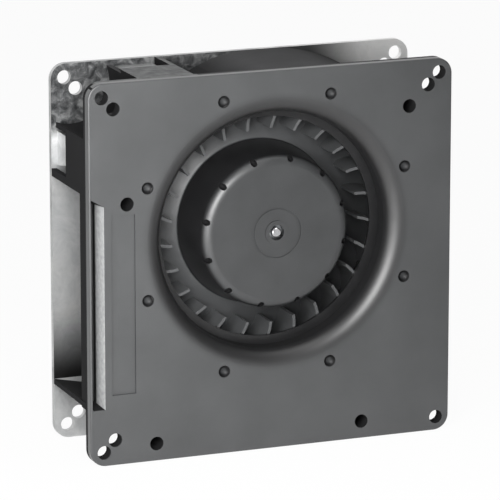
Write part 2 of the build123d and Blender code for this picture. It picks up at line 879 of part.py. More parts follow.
# Rear insulator, with posts that carry the circuit board and seats for the winding pins
rear_insulator_end_back = stack_end_back + seat_gap + insulator_t
pin_places = [round_hub(pin_ring_r, angle) for angle in pole_angles]
post_places = [round_hub(post_ring_r, angle) for angle in gap_angles]
pin_seat_back = rear_insulator_end_back + insulator_wall_h - pin_seat_depth
with BuildPart() as rear_insulator:
    with BuildSketch(hub_plane(rear_insulator_end_back)):
        add(lamination.sketch_local)
    extrude(amount=insulator_t)
    with BuildSketch(hub_plane(rear_insulator_end_back + insulator_wall_h)):
        add(insulator_walls.sketch_local)
    extrude(amount=insulator_wall_h)
    for place in post_places:
        turned_ring(place, 0, post_d / 2, rear_insulator_end_back - insulator_t, board_back - seat_gap)
        turned_ring(place, 0, post_peg_d / 2, board_back - seat_gap, board_end_back)
    for place in pin_places:
        turned_ring(place, 0, pin_d / 2 + seat_gap, pin_seat_back, board_back, Mode.SUBTRACT)

rear_insulator.part.label = "rear_insulator"
export_step(rear_insulator.part, "parts/rear_insulator.step")

# One coil, wound round the pole that points along its own first direction
coil_inner_w = pole_w + 2 * coil_gap
coil_inner_h = stack_length + 2 * (insulator_t + 2 * seat_gap)
coil_outer_w = coil_inner_w + 2 * coil_t
coil_outer_h = coil_inner_h + 2 * coil_t
coil_start_r = core_r + coil_gap
coil_end_r = sqrt((stator_r - pole_tip_t) ** 2 - (coil_outer_w / 2) ** 2) - coil_gap
with BuildPart() as coil:
    with BuildSketch(Plane(origin=(coil_start_r, 0, 0), x_dir=(0, 1, 0), z_dir=(1, 0, 0))):
        RectangleRounded(coil_outer_w, coil_outer_h, coil_t)
        Rectangle(coil_inner_w, coil_inner_h, mode=Mode.SUBTRACT)
    extrude(amount=coil_end_r - coil_start_r)

# Coils on the four poles
with BuildPart(hub_plane(stack_end_back - stack_length / 2)) as stator_coils:
    with PolarLocations(0, pole_count, start_angle=pole_first_angle):
        add(coil.part)

stator_coils.part.label = "stator_coils"
export_step(stator_coils.part, "parts/stator_coils.step")

# Pins that take the winding ends through the circuit board
with BuildPart() as winding_pins:
    for place in pin_places:
        turned_ring(place, 0, pin_d / 2, pin_seat_back + seat_gap, board_end_back + pin_stub)

winding_pins.part.label = "winding_pins"
export_step(winding_pins.part, "parts/winding_pins.step")

# Round circuit board
with BuildPart() as circuit_board:
    turned_ring(hub, board_hole_r, board_r, board_back, board_end_back)
    for place in pin_places:
        turned_ring(place, 0, pin_d / 2 + seat_gap, board_back, board_end_back, Mode.SUBTRACT)
    for place in post_places:
        turned_ring(place, 0, post_peg_d / 2 + seat_gap, board_back, board_end_back, Mode.SUBTRACT)

circuit_board.part.label = "circuit_board"
export_step(circuit_board.part, "parts/circuit_board.step")

# Sensor near the magnet, on the board's front side
part_back = board_back - seat_gap
with BuildPart() as hall_sensor:
    with BuildSketch(hub_plane(part_back)):
        with PolarLocations(board_r - sensor_inset, 1, start_angle=gap_angles[0]):
            Rectangle(sensor_t, sensor_w)
    extrude(amount=sensor_h)

hall_sensor.part.label = "hall_sensor"
export_step(hall_sensor.part, "parts/hall_sensor.step")

# Driver chips, one on each side of the tube
with BuildPart() as driver_chips:
    with BuildSketch(hub_plane(part_back)):
        with PolarLocations(board_r - chip_inset, 2, start_angle=gap_angles[1]):
            Rectangle(chip_l, chip_w)
    extrude(amount=chip_h)

driver_chips.part.label = "driver_chips"
export_step(driver_chips.part, "parts/driver_chips.step")

# Low round capacitor opposite the sensor
with BuildPart() as filter_capacitor:
    turned_ring(
        round_hub(board_r - capacitor_inset, gap_angles[2]),
        0,
        capacitor_d / 2,
        part_back - capacitor_h,
        part_back,
    )

filter_capacitor.part.label = "filter_capacitor"
export_step(filter_capacitor.part, "parts/filter_capacitor.step")

# Motor flange: boss for the bearing tube, dished web, screwed rim and spigot in the rear plate
flange_bore_r = tube_r + seat_gap
grommet_hole_r = grommet_d / 2
grommet_sink_back = spigot_end_back - grommet_flange_t
grommet_sink_r = grommet_flange_d / 2 + seat_gap
with BuildPart() as motor_flange:
    turned(
        hub,
        [
            (flange_bore_r, flange_back - flange_boss_h),
            (flange_boss_r, flange_back - flange_boss_h),
            (flange_boss_r, dish_back),
            (dish_r, dish_back),
            (dish_r, flange_back),
            (flange_r, flange_back),
            (flange_r, housing_end_back),
            (spigot_r, housing_end_back),
            (spigot_r, spigot_end_back),
            (flange_bore_r, spigot_end_back),
        ],
    )
    for place in motor_screw_places:
        turned_ring(place, 0, screw_r + seat_gap, flange_back, housing_end_back, Mode.SUBTRACT)
    turned_ring(grommet_place, 0, grommet_hole_r, dish_back, spigot_end_back, Mode.SUBTRACT)
    turned_ring(grommet_place, 0, grommet_sink_r, grommet_sink_back, spigot_end_back, Mode.SUBTRACT)

motor_flange.part.label = "motor_flange"
export_step(motor_flange.part, "parts/motor_flange.step")

# Grommet for the leads, with a lip on each side of the flange
grommet_r = grommet_hole_r - seat_gap
grommet_lip_r = grommet_flange_d / 2
grommet_front_back = dish_back - seat_gap - grommet_flange_t
with BuildPart() as cable_grommet:
    turned(
        grommet_place,
        [
            (grommet_bore_d / 2, grommet_front_back),
            (grommet_lip_r, grommet_front_back),
            (grommet_lip_r, dish_back - seat_gap),
            (grommet_r, dish_back - seat_gap),
            (grommet_r, grommet_sink_back + seat_gap),
            (grommet_lip_r, grommet_sink_back + seat_gap),
            (grommet_lip_r, spigot_end_back),
            (grommet_bore_d / 2, spigot_end_back),
        ],
    )

cable_grommet.part.label = "cable_grommet"
export_step(cable_grommet.part, "parts/cable_grommet.step")

# Screws from the rear plate into the housing's bosses
with BuildPart() as housing_screws:
    for place in boss_places:
        countersunk_screw(place, housing_screw_l)
    with BuildSketch(plate_plane(screw_head_back)):
        with Locations(*boss_places):
            Rectangle(screw_cross_l, screw_cross_w)
            Rectangle(screw_cross_w, screw_cross_l)
    extrude(amount=screw_cross_depth, mode=Mode.SUBTRACT)

housing_screws.part.label = "housing_screws"
export_step(housing_screws.part, "parts/housing_screws.step")

# Screws from the rear plate into the motor flange
with BuildPart() as motor_screws:
    for place in motor_screw_places:
        countersunk_screw(place, motor_screw_l)
    with BuildSketch(plate_plane(screw_head_back)):
        with Locations(*motor_screw_places):
            Rectangle(screw_cross_l, screw_cross_w)
            Rectangle(screw_cross_w, screw_cross_l)
    extrude(amount=screw_cross_depth, mode=Mode.SUBTRACT)

motor_screws.part.label = "motor_screws"
export_step(motor_screws.part, "parts/motor_screws.step")
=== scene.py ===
import math

import bpy
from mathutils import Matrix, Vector


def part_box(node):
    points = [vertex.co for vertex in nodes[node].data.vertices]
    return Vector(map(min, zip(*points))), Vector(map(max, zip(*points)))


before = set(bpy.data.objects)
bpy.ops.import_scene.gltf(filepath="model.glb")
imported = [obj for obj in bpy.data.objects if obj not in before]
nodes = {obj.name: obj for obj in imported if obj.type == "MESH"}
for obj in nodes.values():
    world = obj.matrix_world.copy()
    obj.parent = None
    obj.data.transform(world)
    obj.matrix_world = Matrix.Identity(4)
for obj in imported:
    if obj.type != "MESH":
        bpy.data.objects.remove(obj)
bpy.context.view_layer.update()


# Rear plate: an aluminium die casting with a hole in each corner and two upright lugs.
# It carries everything else: the motor is screwed on from behind, and so is the front housing.
# Bare cast aluminium: pale grey and softly shiny, mottled and streaked where the melt met the die.
def linear(colour):
    """Turns an sRGB hex value into linear red, green, blue and alpha."""
    channels = [int(colour[start:start + 2], 16) / 255 for start in (1, 3, 5)]
    return [c / 12.92 if c <= 0.04045 else ((c + 0.055) / 1.055) ** 2.4 for c in channels] + [1.0]


def add_node(tree, kind, links=None, values=None, **settings):
    """Adds a node to a material, with its settings, socket values and what feeds its sockets."""
    node = tree.nodes.new(kind)
    for name, value in settings.items():
        setattr(node, name, value)
    for socket, value in (values or {}).items():
        node.inputs[socket].default_value = value
    for socket, source in (links or {}).items():
        tree.links.new(source, node.inputs[socket])
    return node


def start_material(name):
    """Makes an empty material, and returns it, its tree and the surface's own coordinates."""
    material = bpy.data.materials.new(name)
    material.use_nodes = True
    tree = material.node_tree
    tree.nodes.clear()
    return material, tree, add_node(tree, "ShaderNodeTexCoord")


def set_steps(ramp, *steps):
    """Gives a colour ramp its steps, each a position and an sRGB hex value."""
    elements = ramp.color_ramp.elements
    while len(elements) < len(steps):
        elements.new(0.5)
    for element, (position, colour) in zip(elements, steps):
        element.position = position
        element.color = linear(colour)


def dress(material, *names):
    """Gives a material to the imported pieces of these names."""
    for name in names:
        for slot in nodes[name].material_slots:
            slot.material = material


MM = 0.001
plate_low, plate_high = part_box("rear_plate")
duct_floor_z = 19.7 * MM
melt_patch = 11 * MM
corner_shade_patch = 3 * MM
casting_grain = 0.7 * MM  # The real grain of about 0.2 mm is too fine to show, so this is coarser.
# The axis that each change of tone runs along, where it starts, and where it is full.
tone_changes = {
    "top strip": ("Z", plate_high[2] - 24 * MM, plate_high[2] - 19 * MM),
    "left part": ("X", plate_low[0] + 80 * MM, plate_low[0] + 48 * MM),
    "right part": ("X", plate_low[0] + 60 * MM, plate_high[0] - 16 * MM),
    "short of corner": ("X", plate_high[0] - 12 * MM, plate_high[0] - 36 * MM),
    "duct foot": ("Z", 46 * MM, 20 * MM),
}

cast_aluminium, tree, surface = start_material("aluminium_die_cast_bare")
spot = add_node(tree, "ShaderNodeSeparateXYZ", {"Vector": surface.outputs["Object"]})
facing = add_node(tree, "ShaderNodeSeparateXYZ", {"Vector": surface.outputs["Normal"]})
fades = {
    part: add_node(
        tree, "ShaderNodeMapRange", {"Value": spot.outputs[axis]},
        {"From Min": start, "From Max": full}, interpolation_type="SMOOTHSTEP",
    ).outputs["Result"]
    for part, (axis, start, full) in tone_changes.items()
}
above_floor = add_node(
    tree, "ShaderNodeMath", {0: spot.outputs["Z"]}, {1: duct_floor_z}, operation="GREATER_THAN",
)
# These painted shades and reflections are on the plate's front side only: each is cut off where the
# face turns away.
faces_front = add_node(
    tree, "ShaderNodeMath", {0: facing.outputs["Y"]}, {1: -0.5}, operation="LESS_THAN",
)
painted_shading = {}
for shaded_place, first, second in (
    ("corner shade", fades["top strip"], fades["left part"]),
    ("scroll reflection", fades["top strip"], fades["short of corner"]),
    ("duct shade", fades["duct foot"], above_floor.outputs[0]),
):
    extent = add_node(tree, "ShaderNodeMath", {0: first, 1: second}, operation="MULTIPLY")
    painted_shading[shaded_place] = add_node(
        tree, "ShaderNodeMath", {0: extent.outputs[0], 1: faces_front.outputs[0]},
        operation="MULTIPLY",
    ).outputs[0]

# The melt front left a mottled skin; the right part is painted lighter, a painted reflection.
melt_front = add_node(
    tree, "ShaderNodeTexNoise", {"Vector": surface.outputs["Object"]},
    {"Scale": 1 / melt_patch, "Detail": 6.0, "Roughness": 0.6, "Distortion": 0.5},
)
melt_tone = add_node(tree, "ShaderNodeValToRGB", {"Fac": melt_front.outputs["Fac"]})
set_steps(melt_tone, (0.30, "#a0a1a2"), (0.50, "#bebfbf"), (0.72, "#dadad9"))
reflection_lit_tone = add_node(tree, "ShaderNodeValToRGB", {"Fac": melt_front.outputs["Fac"]})
set_steps(reflection_lit_tone, (0.30, "#dcdcdb"), (0.50, "#ececeb"), (0.72, "#f6f6f5"))
filled_tone = add_node(
    tree, "ShaderNodeMix",
    {
        "Factor": fades["right part"],
        "A": melt_tone.outputs["Color"],
        "B": reflection_lit_tone.outputs["Color"],
    },
    data_type="RGBA",
)
# A painted reflection of the dark scroll wall darkens the strip above the scroll; at its left end
# lies a mottled painted shade.
scroll_reflection_tone = add_node(
    tree, "ShaderNodeMix", {"Factor": painted_shading["scroll reflection"], "A": filled_tone.outputs["Result"]},
    {"B": linear("#484949")}, data_type="RGBA",
)
# Painted shade: a dark mottle at the top strip's left end.
corner_shade_mottle = add_node(
    tree, "ShaderNodeTexNoise", {"Vector": surface.outputs["Object"]},
    {"Scale": 1 / corner_shade_patch, "Detail": 5.0, "Roughness": 0.6, "Distortion": 0.6},
)
corner_shade_tone = add_node(tree, "ShaderNodeValToRGB", {"Fac": corner_shade_mottle.outputs["Fac"]})
set_steps(corner_shade_tone, (0.35, "#3e3f40"), (0.50, "#6c6d6e"), (0.66, "#a2a3a3"))
skin_tone = add_node(
    tree, "ShaderNodeMix",
    {
        "Factor": painted_shading["corner shade"],
        "A": scroll_reflection_tone.outputs["Result"],
        "B": corner_shade_tone.outputs["Color"],
    },
    data_type="RGBA",
)
# Painted shade darkens the plate low down in the duct, towards its floor.
plate_tone = add_node(
    tree, "ShaderNodeMix", {"Factor": painted_shading["duct shade"], "A": skin_tone.outputs["Result"]},
    {"B": linear("#1e1e1e")}, data_type="RGBA",
)
melt_gloss = add_node(
    tree, "ShaderNodeMapRange", {"Value": melt_front.outputs["Fac"]},
    {"From Min": 0.3, "From Max": 0.7, "To Min": 0.50, "To Max": 0.34},
)
die_grain = add_node(
    tree, "ShaderNodeTexNoise", {"Vector": surface.outputs["Object"]},
    {"Scale": 1 / casting_grain, "Detail": 3.0},
)
die_relief = add_node(
    tree, "ShaderNodeBump", {"Height": die_grain.outputs["Fac"]},
    {"Strength": 0.35, "Distance": 0.04 * MM},
)
metal = add_node(
    tree, "ShaderNodeBsdfPrincipled",
    {
        "Base Color": plate_tone.outputs["Result"],
        "Roughness": melt_gloss.outputs["Result"],
        "Normal": die_relief.outputs["Normal"],
    },
    {"Metallic": 0.8},
)
add_node(tree, "ShaderNodeOutputMaterial", {"Surface": metal.outputs["BSDF"]})
dress(cast_aluminium, "rear_plate")


# Motor flange: a second casting, turned where it takes the bearing tube and seats in the plate.
# Four screws from behind hold it; the tube is pressed into its boss.
# Turned aluminium: brighter than the cast skin, with fine rings round the axis.
hub_low, hub_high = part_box("rotor_shaft")
hub_x = (hub_low[0] + hub_high[0]) / 2
hub_z = (hub_low[2] + hub_high[2]) / 2
turning_feed = 0.45 * MM  # The real feed of about 0.15 mm is too fine to show, so this is coarser.

flange_patch = 6 * MM
turned_aluminium, tree, surface = start_material("aluminium_turned")
from_axis = add_node(
    tree, "ShaderNodeMapping", {"Vector": surface.outputs["Object"]},
    {"Location": (-hub_x, 0, -hub_z), "Scale": (1, 0, 1)},
)
ring_r = add_node(
    tree, "ShaderNodeVectorMath", {0: from_axis.outputs["Vector"]}, operation="LENGTH",
)
ring_phase = add_node(
    tree, "ShaderNodeMath", {0: ring_r.outputs["Value"]}, {1: 2 * math.pi / turning_feed},
    operation="MULTIPLY",
)
ring_marks = add_node(tree, "ShaderNodeMath", {0: ring_phase.outputs[0]}, operation="SINE")
ring_relief = add_node(
    tree, "ShaderNodeBump", {"Height": ring_marks.outputs[0]},
    {"Strength": 0.4, "Distance": 0.008 * MM},
)
flange_tone = add_node(
    tree, "ShaderNodeTexNoise", {"Vector": surface.outputs["Object"]},
    {"Scale": 1 / flange_patch, "Detail": 4.0},
)
flange_colour = add_node(tree, "ShaderNodeValToRGB", {"Fac": flange_tone.outputs["Fac"]})
set_steps(flange_colour, (0.3, "#b4b5b6"), (0.7, "#cfcfce"))
metal = add_node(
    tree, "ShaderNodeBsdfPrincipled",
    {"Base Color": flange_colour.outputs["Color"], "Normal": ring_relief.outputs["Normal"]},
    {"Metallic": 0.9, "Roughness": 0.34},
)
add_node(tree, "ShaderNodeOutputMaterial", {"Surface": metal.outputs["BSDF"]})
dress(turned_aluminium, "motor_flange")


# Bearing tube: a brass tube, turned and bored, pressed into the flange with a plug at its rear end.
# It holds both ball bearings and carries the stator.
# Turned brass: warm yellow with fine feed marks along the tube, browner where it has tarnished.
tube_feed = 0.12 * MM
tarnish_patch = 4 * MM
turned_brass, tree, surface = start_material("brass_turned")
feed_marks = add_node(
    tree, "ShaderNodeTexWave", {"Vector": surface.outputs["Object"]},
    {"Scale": 1 / (math.pi * tube_feed), "Distortion": 0.4, "Detail": 2.0},
    wave_type="BANDS", bands_direction="Y",
)
feed_relief = add_node(
    tree, "ShaderNodeBump", {"Height": feed_marks.outputs["Fac"]},
    {"Strength": 0.3, "Distance": 0.01 * MM},
)
tarnish = add_node(
    tree, "ShaderNodeTexNoise", {"Vector": surface.outputs["Object"]},
    {"Scale": 1 / tarnish_patch, "Detail": 5.0},
)
brass_tone = add_node(tree, "ShaderNodeValToRGB", {"Fac": tarnish.outputs["Fac"]})
set_steps(brass_tone, (0.35, "#a98a4e"), (0.65, "#cfae68"))
metal = add_node(
    tree, "ShaderNodeBsdfPrincipled",
    {"Base Color": brass_tone.outputs["Color"], "Normal": feed_relief.outputs["Normal"]},
    {"Metallic": 1.0, "Roughness": 0.28},
)
add_node(tree, "ShaderNodeOutputMaterial", {"Surface": metal.outputs["BSDF"]})
dress(turned_brass, "bearing_tube")


# Ball bearings: two of one size, each with two ground races, seven balls, a cage and two shields.
# Ground bearing steel: a clear mirror, with hair-fine marks that run round the ring.
grinding_mark = 1.5 * MM  # Its length; it is a thirtieth as wide.
ground_steel, tree, surface = start_material("bearing_steel_ground")
wheel_marks = add_node(
    tree, "ShaderNodeMapping", {"Vector": surface.outputs["Object"]}, {"Scale": (1, 30, 1)},
)
grinding = add_node(
    tree, "ShaderNodeTexNoise", {"Vector": wheel_marks.outputs["Vector"]},
    {"Scale": 1 / grinding_mark, "Detail": 2.0},
)
grinding_gloss = add_node(
    tree, "ShaderNodeMapRange", {"Value": grinding.outputs["Fac"]},
    {"From Min": 0.3, "From Max": 0.7, "To Min": 0.12, "To Max": 0.26},
)
metal = add_node(
    tree, "ShaderNodeBsdfPrincipled", {"Roughness": grinding_gloss.outputs["Result"]},
    {"Base Color": linear("#cdcdd0"), "Metallic": 1.0},
)
add_node(tree, "ShaderNodeOutputMaterial", {"Surface": metal.outputs["BSDF"]})

# Polished bearing steel for the balls: the clearest mirror here, with a faint film of grease.
grease_smear = 0.8 * MM
polished_steel, tree, surface = start_material("bearing_steel_polished")
grease = add_node(
    tree, "ShaderNodeTexNoise", {"Vector": surface.outputs["Object"]},
    {"Scale": 1 / grease_smear, "Detail": 2.0},
)
grease_gloss = add_node(
    tree, "ShaderNodeMapRange", {"Value": grease.outputs["Fac"]},
    {"From Min": 0.4, "From Max": 0.7, "To Min": 0.05, "To Max": 0.14},
)
metal = add_node(
    tree, "ShaderNodeBsdfPrincipled", {"Roughness": grease_gloss.outputs["Result"]},
    {"Base Color": linear("#dcdcde"), "Metallic": 1.0},
)
add_node(tree, "ShaderNodeOutputMaterial", {"Surface": metal.outputs["BSDF"]})

# Pressed steel sheet for cages, shields and the washer: softer gloss, a rolled grain along one way.
rolling_streak = 2 * MM  # Its length; it is a twelfth as wide.
pressed_steel, tree, surface = start_material("steel_sheet_pressed")
rolled = add_node(
    tree, "ShaderNodeMapping", {"Vector": surface.outputs["Object"]}, {"Scale": (1, 1, 12)},
)
rolling = add_node(
    tree, "ShaderNodeTexNoise", {"Vector": rolled.outputs["Vector"]},
    {"Scale": 1 / rolling_streak, "Detail": 3.0},
)
rolling_tone = add_node(tree, "ShaderNodeValToRGB", {"Fac": rolling.outputs["Fac"]})
set_steps(rolling_tone, (0.3, "#a9a6a0"), (0.7, "#bdbab3"))
rolling_gloss = add_node(
    tree, "ShaderNodeMapRange", {"Value": rolling.outputs["Fac"]},
    {"From Min": 0.3, "From Max": 0.7, "To Min": 0.28, "To Max": 0.42},
)
metal = add_node(
    tree, "ShaderNodeBsdfPrincipled",
    {"Base Color": rolling_tone.outputs["Color"], "Roughness": rolling_gloss.outputs["Result"]},
    {"Metallic": 1.0},
)
add_node(tree, "ShaderNodeOutputMaterial", {"Surface": metal.outputs["BSDF"]})

for bearing in ("front_bearing", "rear_bearing"):
    dress(ground_steel, f"{bearing}_outer_race", f"{bearing}_inner_race")
    dress(polished_steel, f"{bearing}_balls")
    dress(pressed_steel, f"{bearing}_cage", f"{bearing}_shields")
dress(pressed_steel, "thrust_washer")


# Stator core: four poles stamped from silicon steel sheet and stacked on the bearing tube.
# Lacquered laminations: blue-grey steel whose sides show the edge of every sheet.
sheet_t = 0.5 * MM
stacked_steel, tree, surface = start_material("silicon_steel_stacked")
sheet_edges = add_node(
    tree, "ShaderNodeTexWave", {"Vector": surface.outputs["Object"]},
    {"Scale": math.pi / (10 * sheet_t), "Distortion": 0.2},
    wave_type="BANDS", bands_direction="Y",
)
sheet_tone = add_node(tree, "ShaderNodeValToRGB", {"Fac": sheet_edges.outputs["Fac"]})
set_steps(sheet_tone, (0.10, "#2e3034"), (0.30, "#6f7378"), (1.0, "#868a90"))
sheet_relief = add_node(
    tree, "ShaderNodeBump", {"Height": sheet_edges.outputs["Fac"]},
    {"Strength": 0.6, "Distance": 0.03 * MM},
)
metal = add_node(
    tree, "ShaderNodeBsdfPrincipled",
    {"Base Color": sheet_tone.outputs["Color"], "Normal": sheet_relief.outputs["Normal"]},
    {"Metallic": 0.9, "Roughness": 0.42, "Coat Weight": 0.3, "Coat Roughness": 0.3},
)
add_node(tree, "ShaderNodeOutputMaterial", {"Surface": metal.outputs["BSDF"]})
dress(stacked_steel, "stator_core")


# Insulators: a frame on each end of the core that keeps the wire off the steel.
# Natural polyamide, moulded: ivory, softly shiny and faintly cloudy.
cloud_size = 3 * MM
natural_polyamide, tree, surface = start_material("polyamide_moulded_natural")
clouds = add_node(
    tree, "ShaderNodeTexNoise", {"Vector": surface.outputs["Object"]},
    {"Scale": 1 / cloud_size, "Detail": 4.0},
)
cloud_tone = add_node(tree, "ShaderNodeValToRGB", {"Fac": clouds.outputs["Fac"]})
set_steps(cloud_tone, (0.3, "#dcd7c6"), (0.7, "#e8e4d6"))
mould_grain = add_node(
    tree, "ShaderNodeBump", {"Height": clouds.outputs["Fac"]},
    {"Strength": 0.2, "Distance": 0.05 * MM},
)
plastic = add_node(
    tree, "ShaderNodeBsdfPrincipled",
    {"Base Color": cloud_tone.outputs["Color"], "Normal": mould_grain.outputs["Normal"]},
    {"Roughness": 0.4, "IOR": 1.53},
)
add_node(tree, "ShaderNodeOutputMaterial", {"Surface": plastic.outputs["BSDF"]})
dress(natural_polyamide, "front_insulator", "rear_insulator")


# Coils: one on each pole, wound turn beside turn with enamelled wire.
# Enamelled copper: deep orange-brown under a clear glossy skin, ribbed by the wire.
wire_pitch = 0.4 * MM
enamel_patch = 1.2 * MM
wound_copper, tree, surface = start_material("copper_wire_enamelled")
from_axis = add_node(
    tree, "ShaderNodeMapping", {"Vector": surface.outputs["Object"]},
    {"Location": (-hub_x, 0, -hub_z), "Scale": (1, 0, 1)},
)
turn_r = add_node(
    tree, "ShaderNodeVectorMath", {0: from_axis.outputs["Vector"]}, operation="LENGTH",
)
turn_phase = add_node(
    tree, "ShaderNodeMath", {0: turn_r.outputs["Value"]}, {1: 2 * math.pi / wire_pitch},
    operation="MULTIPLY",
)
turns = add_node(tree, "ShaderNodeMath", {0: turn_phase.outputs[0]}, operation="SINE")
turn_relief = add_node(
    tree, "ShaderNodeBump", {"Height": turns.outputs[0]}, {"Strength": 0.8, "Distance": 0.1 * MM},
)
enamel = add_node(
    tree, "ShaderNodeTexNoise", {"Vector": surface.outputs["Object"]},
    {"Scale": 1 / enamel_patch, "Detail": 3.0},
)
enamel_tone = add_node(tree, "ShaderNodeValToRGB", {"Fac": enamel.outputs["Fac"]})
set_steps(enamel_tone, (0.3, "#8c4420"), (0.7, "#b96532"))
metal = add_node(
    tree, "ShaderNodeBsdfPrincipled",
    {"Base Color": enamel_tone.outputs["Color"], "Normal": turn_relief.outputs["Normal"]},
    {"Metallic": 1.0, "Roughness": 0.32, "Coat Weight": 0.8, "Coat Roughness": 0.12},
)
add_node(tree, "ShaderNodeOutputMaterial", {"Surface": metal.outputs["BSDF"]})
dress(wound_copper, "stator_coils")


# Winding pins: one at each pole, from the rear insulator through the board, soldered there.
# Tinned wire: a whitish soft shine, slightly uneven where it was dipped.
tin_ripple = 0.5 * MM
tinned_wire, tree, surface = start_material("wire_tinned")
tin_dip = add_node(
    tree, "ShaderNodeTexNoise", {"Vector": surface.outputs["Object"]},
    {"Scale": 1 / tin_ripple, "Detail": 3.0},
)
tin_gloss = add_node(
    tree, "ShaderNodeMapRange", {"Value": tin_dip.outputs["Fac"]},
    {"From Min": 0.3, "From Max": 0.7, "To Min": 0.22, "To Max": 0.38},
)
tin_relief = add_node(
    tree, "ShaderNodeBump", {"Height": tin_dip.outputs["Fac"]},
    {"Strength": 0.3, "Distance": 0.03 * MM},
)
metal = add_node(
    tree, "ShaderNodeBsdfPrincipled",
    {"Roughness": tin_gloss.outputs["Result"], "Normal": tin_relief.outputs["Normal"]},
    {"Base Color": linear("#d3d3cf"), "Metallic": 1.0},
)
add_node(tree, "ShaderNodeOutputMaterial", {"Surface": metal.outputs["BSDF"]})
dress(tinned_wire, "winding_pins")


# Circuit board: a round board on the rear insulator's posts, with the sensor and the drivers.
# Glass-epoxy sheet under green lacquer: tracks show paler through it, and the sawn rim is straw.
track_pitch = 1.6 * MM
glass_strand = 0.4 * MM
lacquered_board, tree, surface = start_material("glass_epoxy_lacquered_green")
tracks = add_node(
    tree, "ShaderNodeTexVoronoi", {"Vector": surface.outputs["Object"]},
    {"Scale": 1 / (2 * track_pitch), "Randomness": 0.7},
    feature="DISTANCE_TO_EDGE",
)
track_tone = add_node(tree, "ShaderNodeValToRGB", {"Fac": tracks.outputs["Distance"]})
set_steps(track_tone, (0.10, "#163f28"), (0.13, "#2c6e45"))
facing = add_node(tree, "ShaderNodeSeparateXYZ", {"Vector": surface.outputs["Normal"]})
face_on = add_node(tree, "ShaderNodeMath", {0: facing.outputs["Y"]}, operation="ABSOLUTE")
glass_weave = add_node(
    tree, "ShaderNodeTexNoise", {"Vector": surface.outputs["Object"]},
    {"Scale": 1 / glass_strand, "Detail": 2.0},
)
rim_tone = add_node(tree, "ShaderNodeValToRGB", {"Fac": glass_weave.outputs["Fac"]})
set_steps(rim_tone, (0.3, "#a89a63"), (0.7, "#c4b884"))
board_tone = add_node(
    tree, "ShaderNodeMix",
    {
        "Factor": face_on.outputs[0],
        "A": rim_tone.outputs["Color"],
        "B": track_tone.outputs["Color"],
    },
    data_type="RGBA",
)
track_relief = add_node(
    tree, "ShaderNodeBump", {"Height": track_tone.outputs["Color"]},
    {"Strength": 0.5, "Distance": 0.03 * MM},
)
lacquer = add_node(
    tree, "ShaderNodeBsdfPrincipled",
    {"Base Color": board_tone.outputs["Result"], "Normal": track_relief.outputs["Normal"]},
    {"Roughness": 0.3, "IOR": 1.55},
)
add_node(tree, "ShaderNodeOutputMaterial", {"Surface": lacquer.outputs["BSDF"]})
dress(lacquered_board, "circuit_board")


# Sensor and driver chips, soldered on the board's front side.
# Moulded epoxy: black, dull and very finely grained.
blast_grain = 0.15 * MM  # The real grain of about 0.05 mm is too fine to show, so this is coarser.
moulded_epoxy, tree, surface = start_material("epoxy_moulded_black")
blast = add_node(
    tree, "ShaderNodeTexNoise", {"Vector": surface.outputs["Object"]},
    {"Scale": 1 / blast_grain, "Detail": 2.0},
)
blast_tone = add_node(tree, "ShaderNodeValToRGB", {"Fac": blast.outputs["Fac"]})
set_steps(blast_tone, (0.3, "#151516"), (0.7, "#222223"))
blast_relief = add_node(
    tree, "ShaderNodeBump", {"Height": blast.outputs["Fac"]},
    {"Strength": 0.4, "Distance": 0.01 * MM},
)
plastic = add_node(
    tree, "ShaderNodeBsdfPrincipled",
    {"Base Color": blast_tone.outputs["Color"], "Normal": blast_relief.outputs["Normal"]},
    {"Roughness": 0.55, "IOR": 1.55},
)
add_node(tree, "ShaderNodeOutputMaterial", {"Surface": plastic.outputs["BSDF"]})
dress(moulded_epoxy, "hall_sensor", "driver_chips")


# Filter capacitor: a low can soldered flat on the board.
# Drawn aluminium can: bright, with fine lines drawn along its sides.
draw_line = 0.2 * MM  # The real lines' width is too fine to show, so this is coarser.
drawn_aluminium, tree, surface = start_material("aluminium_drawn")
draw_lines = add_node(
    tree, "ShaderNodeMapping", {"Vector": surface.outputs["Object"]}, {"Scale": (1, 0.05, 1)},
)
drawing = add_node(
    tree, "ShaderNodeTexNoise", {"Vector": draw_lines.outputs["Vector"]},
    {"Scale": 1 / draw_line, "Detail": 2.0},
)
drawing_gloss = add_node(
    tree, "ShaderNodeMapRange", {"Value": drawing.outputs["Fac"]},
    {"From Min": 0.3, "From Max": 0.7, "To Min": 0.2, "To Max": 0.36},
)
metal = add_node(
    tree, "ShaderNodeBsdfPrincipled", {"Roughness": drawing_gloss.outputs["Result"]},
    {"Base Color": linear("#c9cacc"), "Metallic": 1.0},
)
add_node(tree, "ShaderNodeOutputMaterial", {"Surface": metal.outputs["BSDF"]})
dress(drawn_aluminium, "filter_capacitor")


# Cable grommet: snapped into the flange, a lip on each side, for the leads of the motor.
# Moulded rubber: near black, dull, with a dusty bloom.
bloom_patch = 1.5 * MM
moulded_rubber, tree, surface = start_material("rubber_moulded_black")
bloom = add_node(
    tree, "ShaderNodeTexNoise", {"Vector": surface.outputs["Object"]},
    {"Scale": 1 / bloom_patch, "Detail": 5.0},
)
bloom_tone = add_node(tree, "ShaderNodeValToRGB", {"Fac": bloom.outputs["Fac"]})
set_steps(bloom_tone, (0.35, "#1b1b1b"), (0.7, "#2f2f2e"))
bloom_relief = add_node(
    tree, "ShaderNodeBump", {"Height": bloom.outputs["Fac"]},
    {"Strength": 0.3, "Distance": 0.05 * MM},
)
rubber = add_node(
    tree, "ShaderNodeBsdfPrincipled",
    {"Base Color": bloom_tone.outputs["Color"], "Normal": bloom_relief.outputs["Normal"]},
    {"Roughness": 0.75, "IOR": 1.5, "Specular IOR Level": 0.3},
)
add_node(tree, "ShaderNodeOutputMaterial", {"Surface": rubber.outputs["BSDF"]})
dress(moulded_rubber, "cable_grommet")
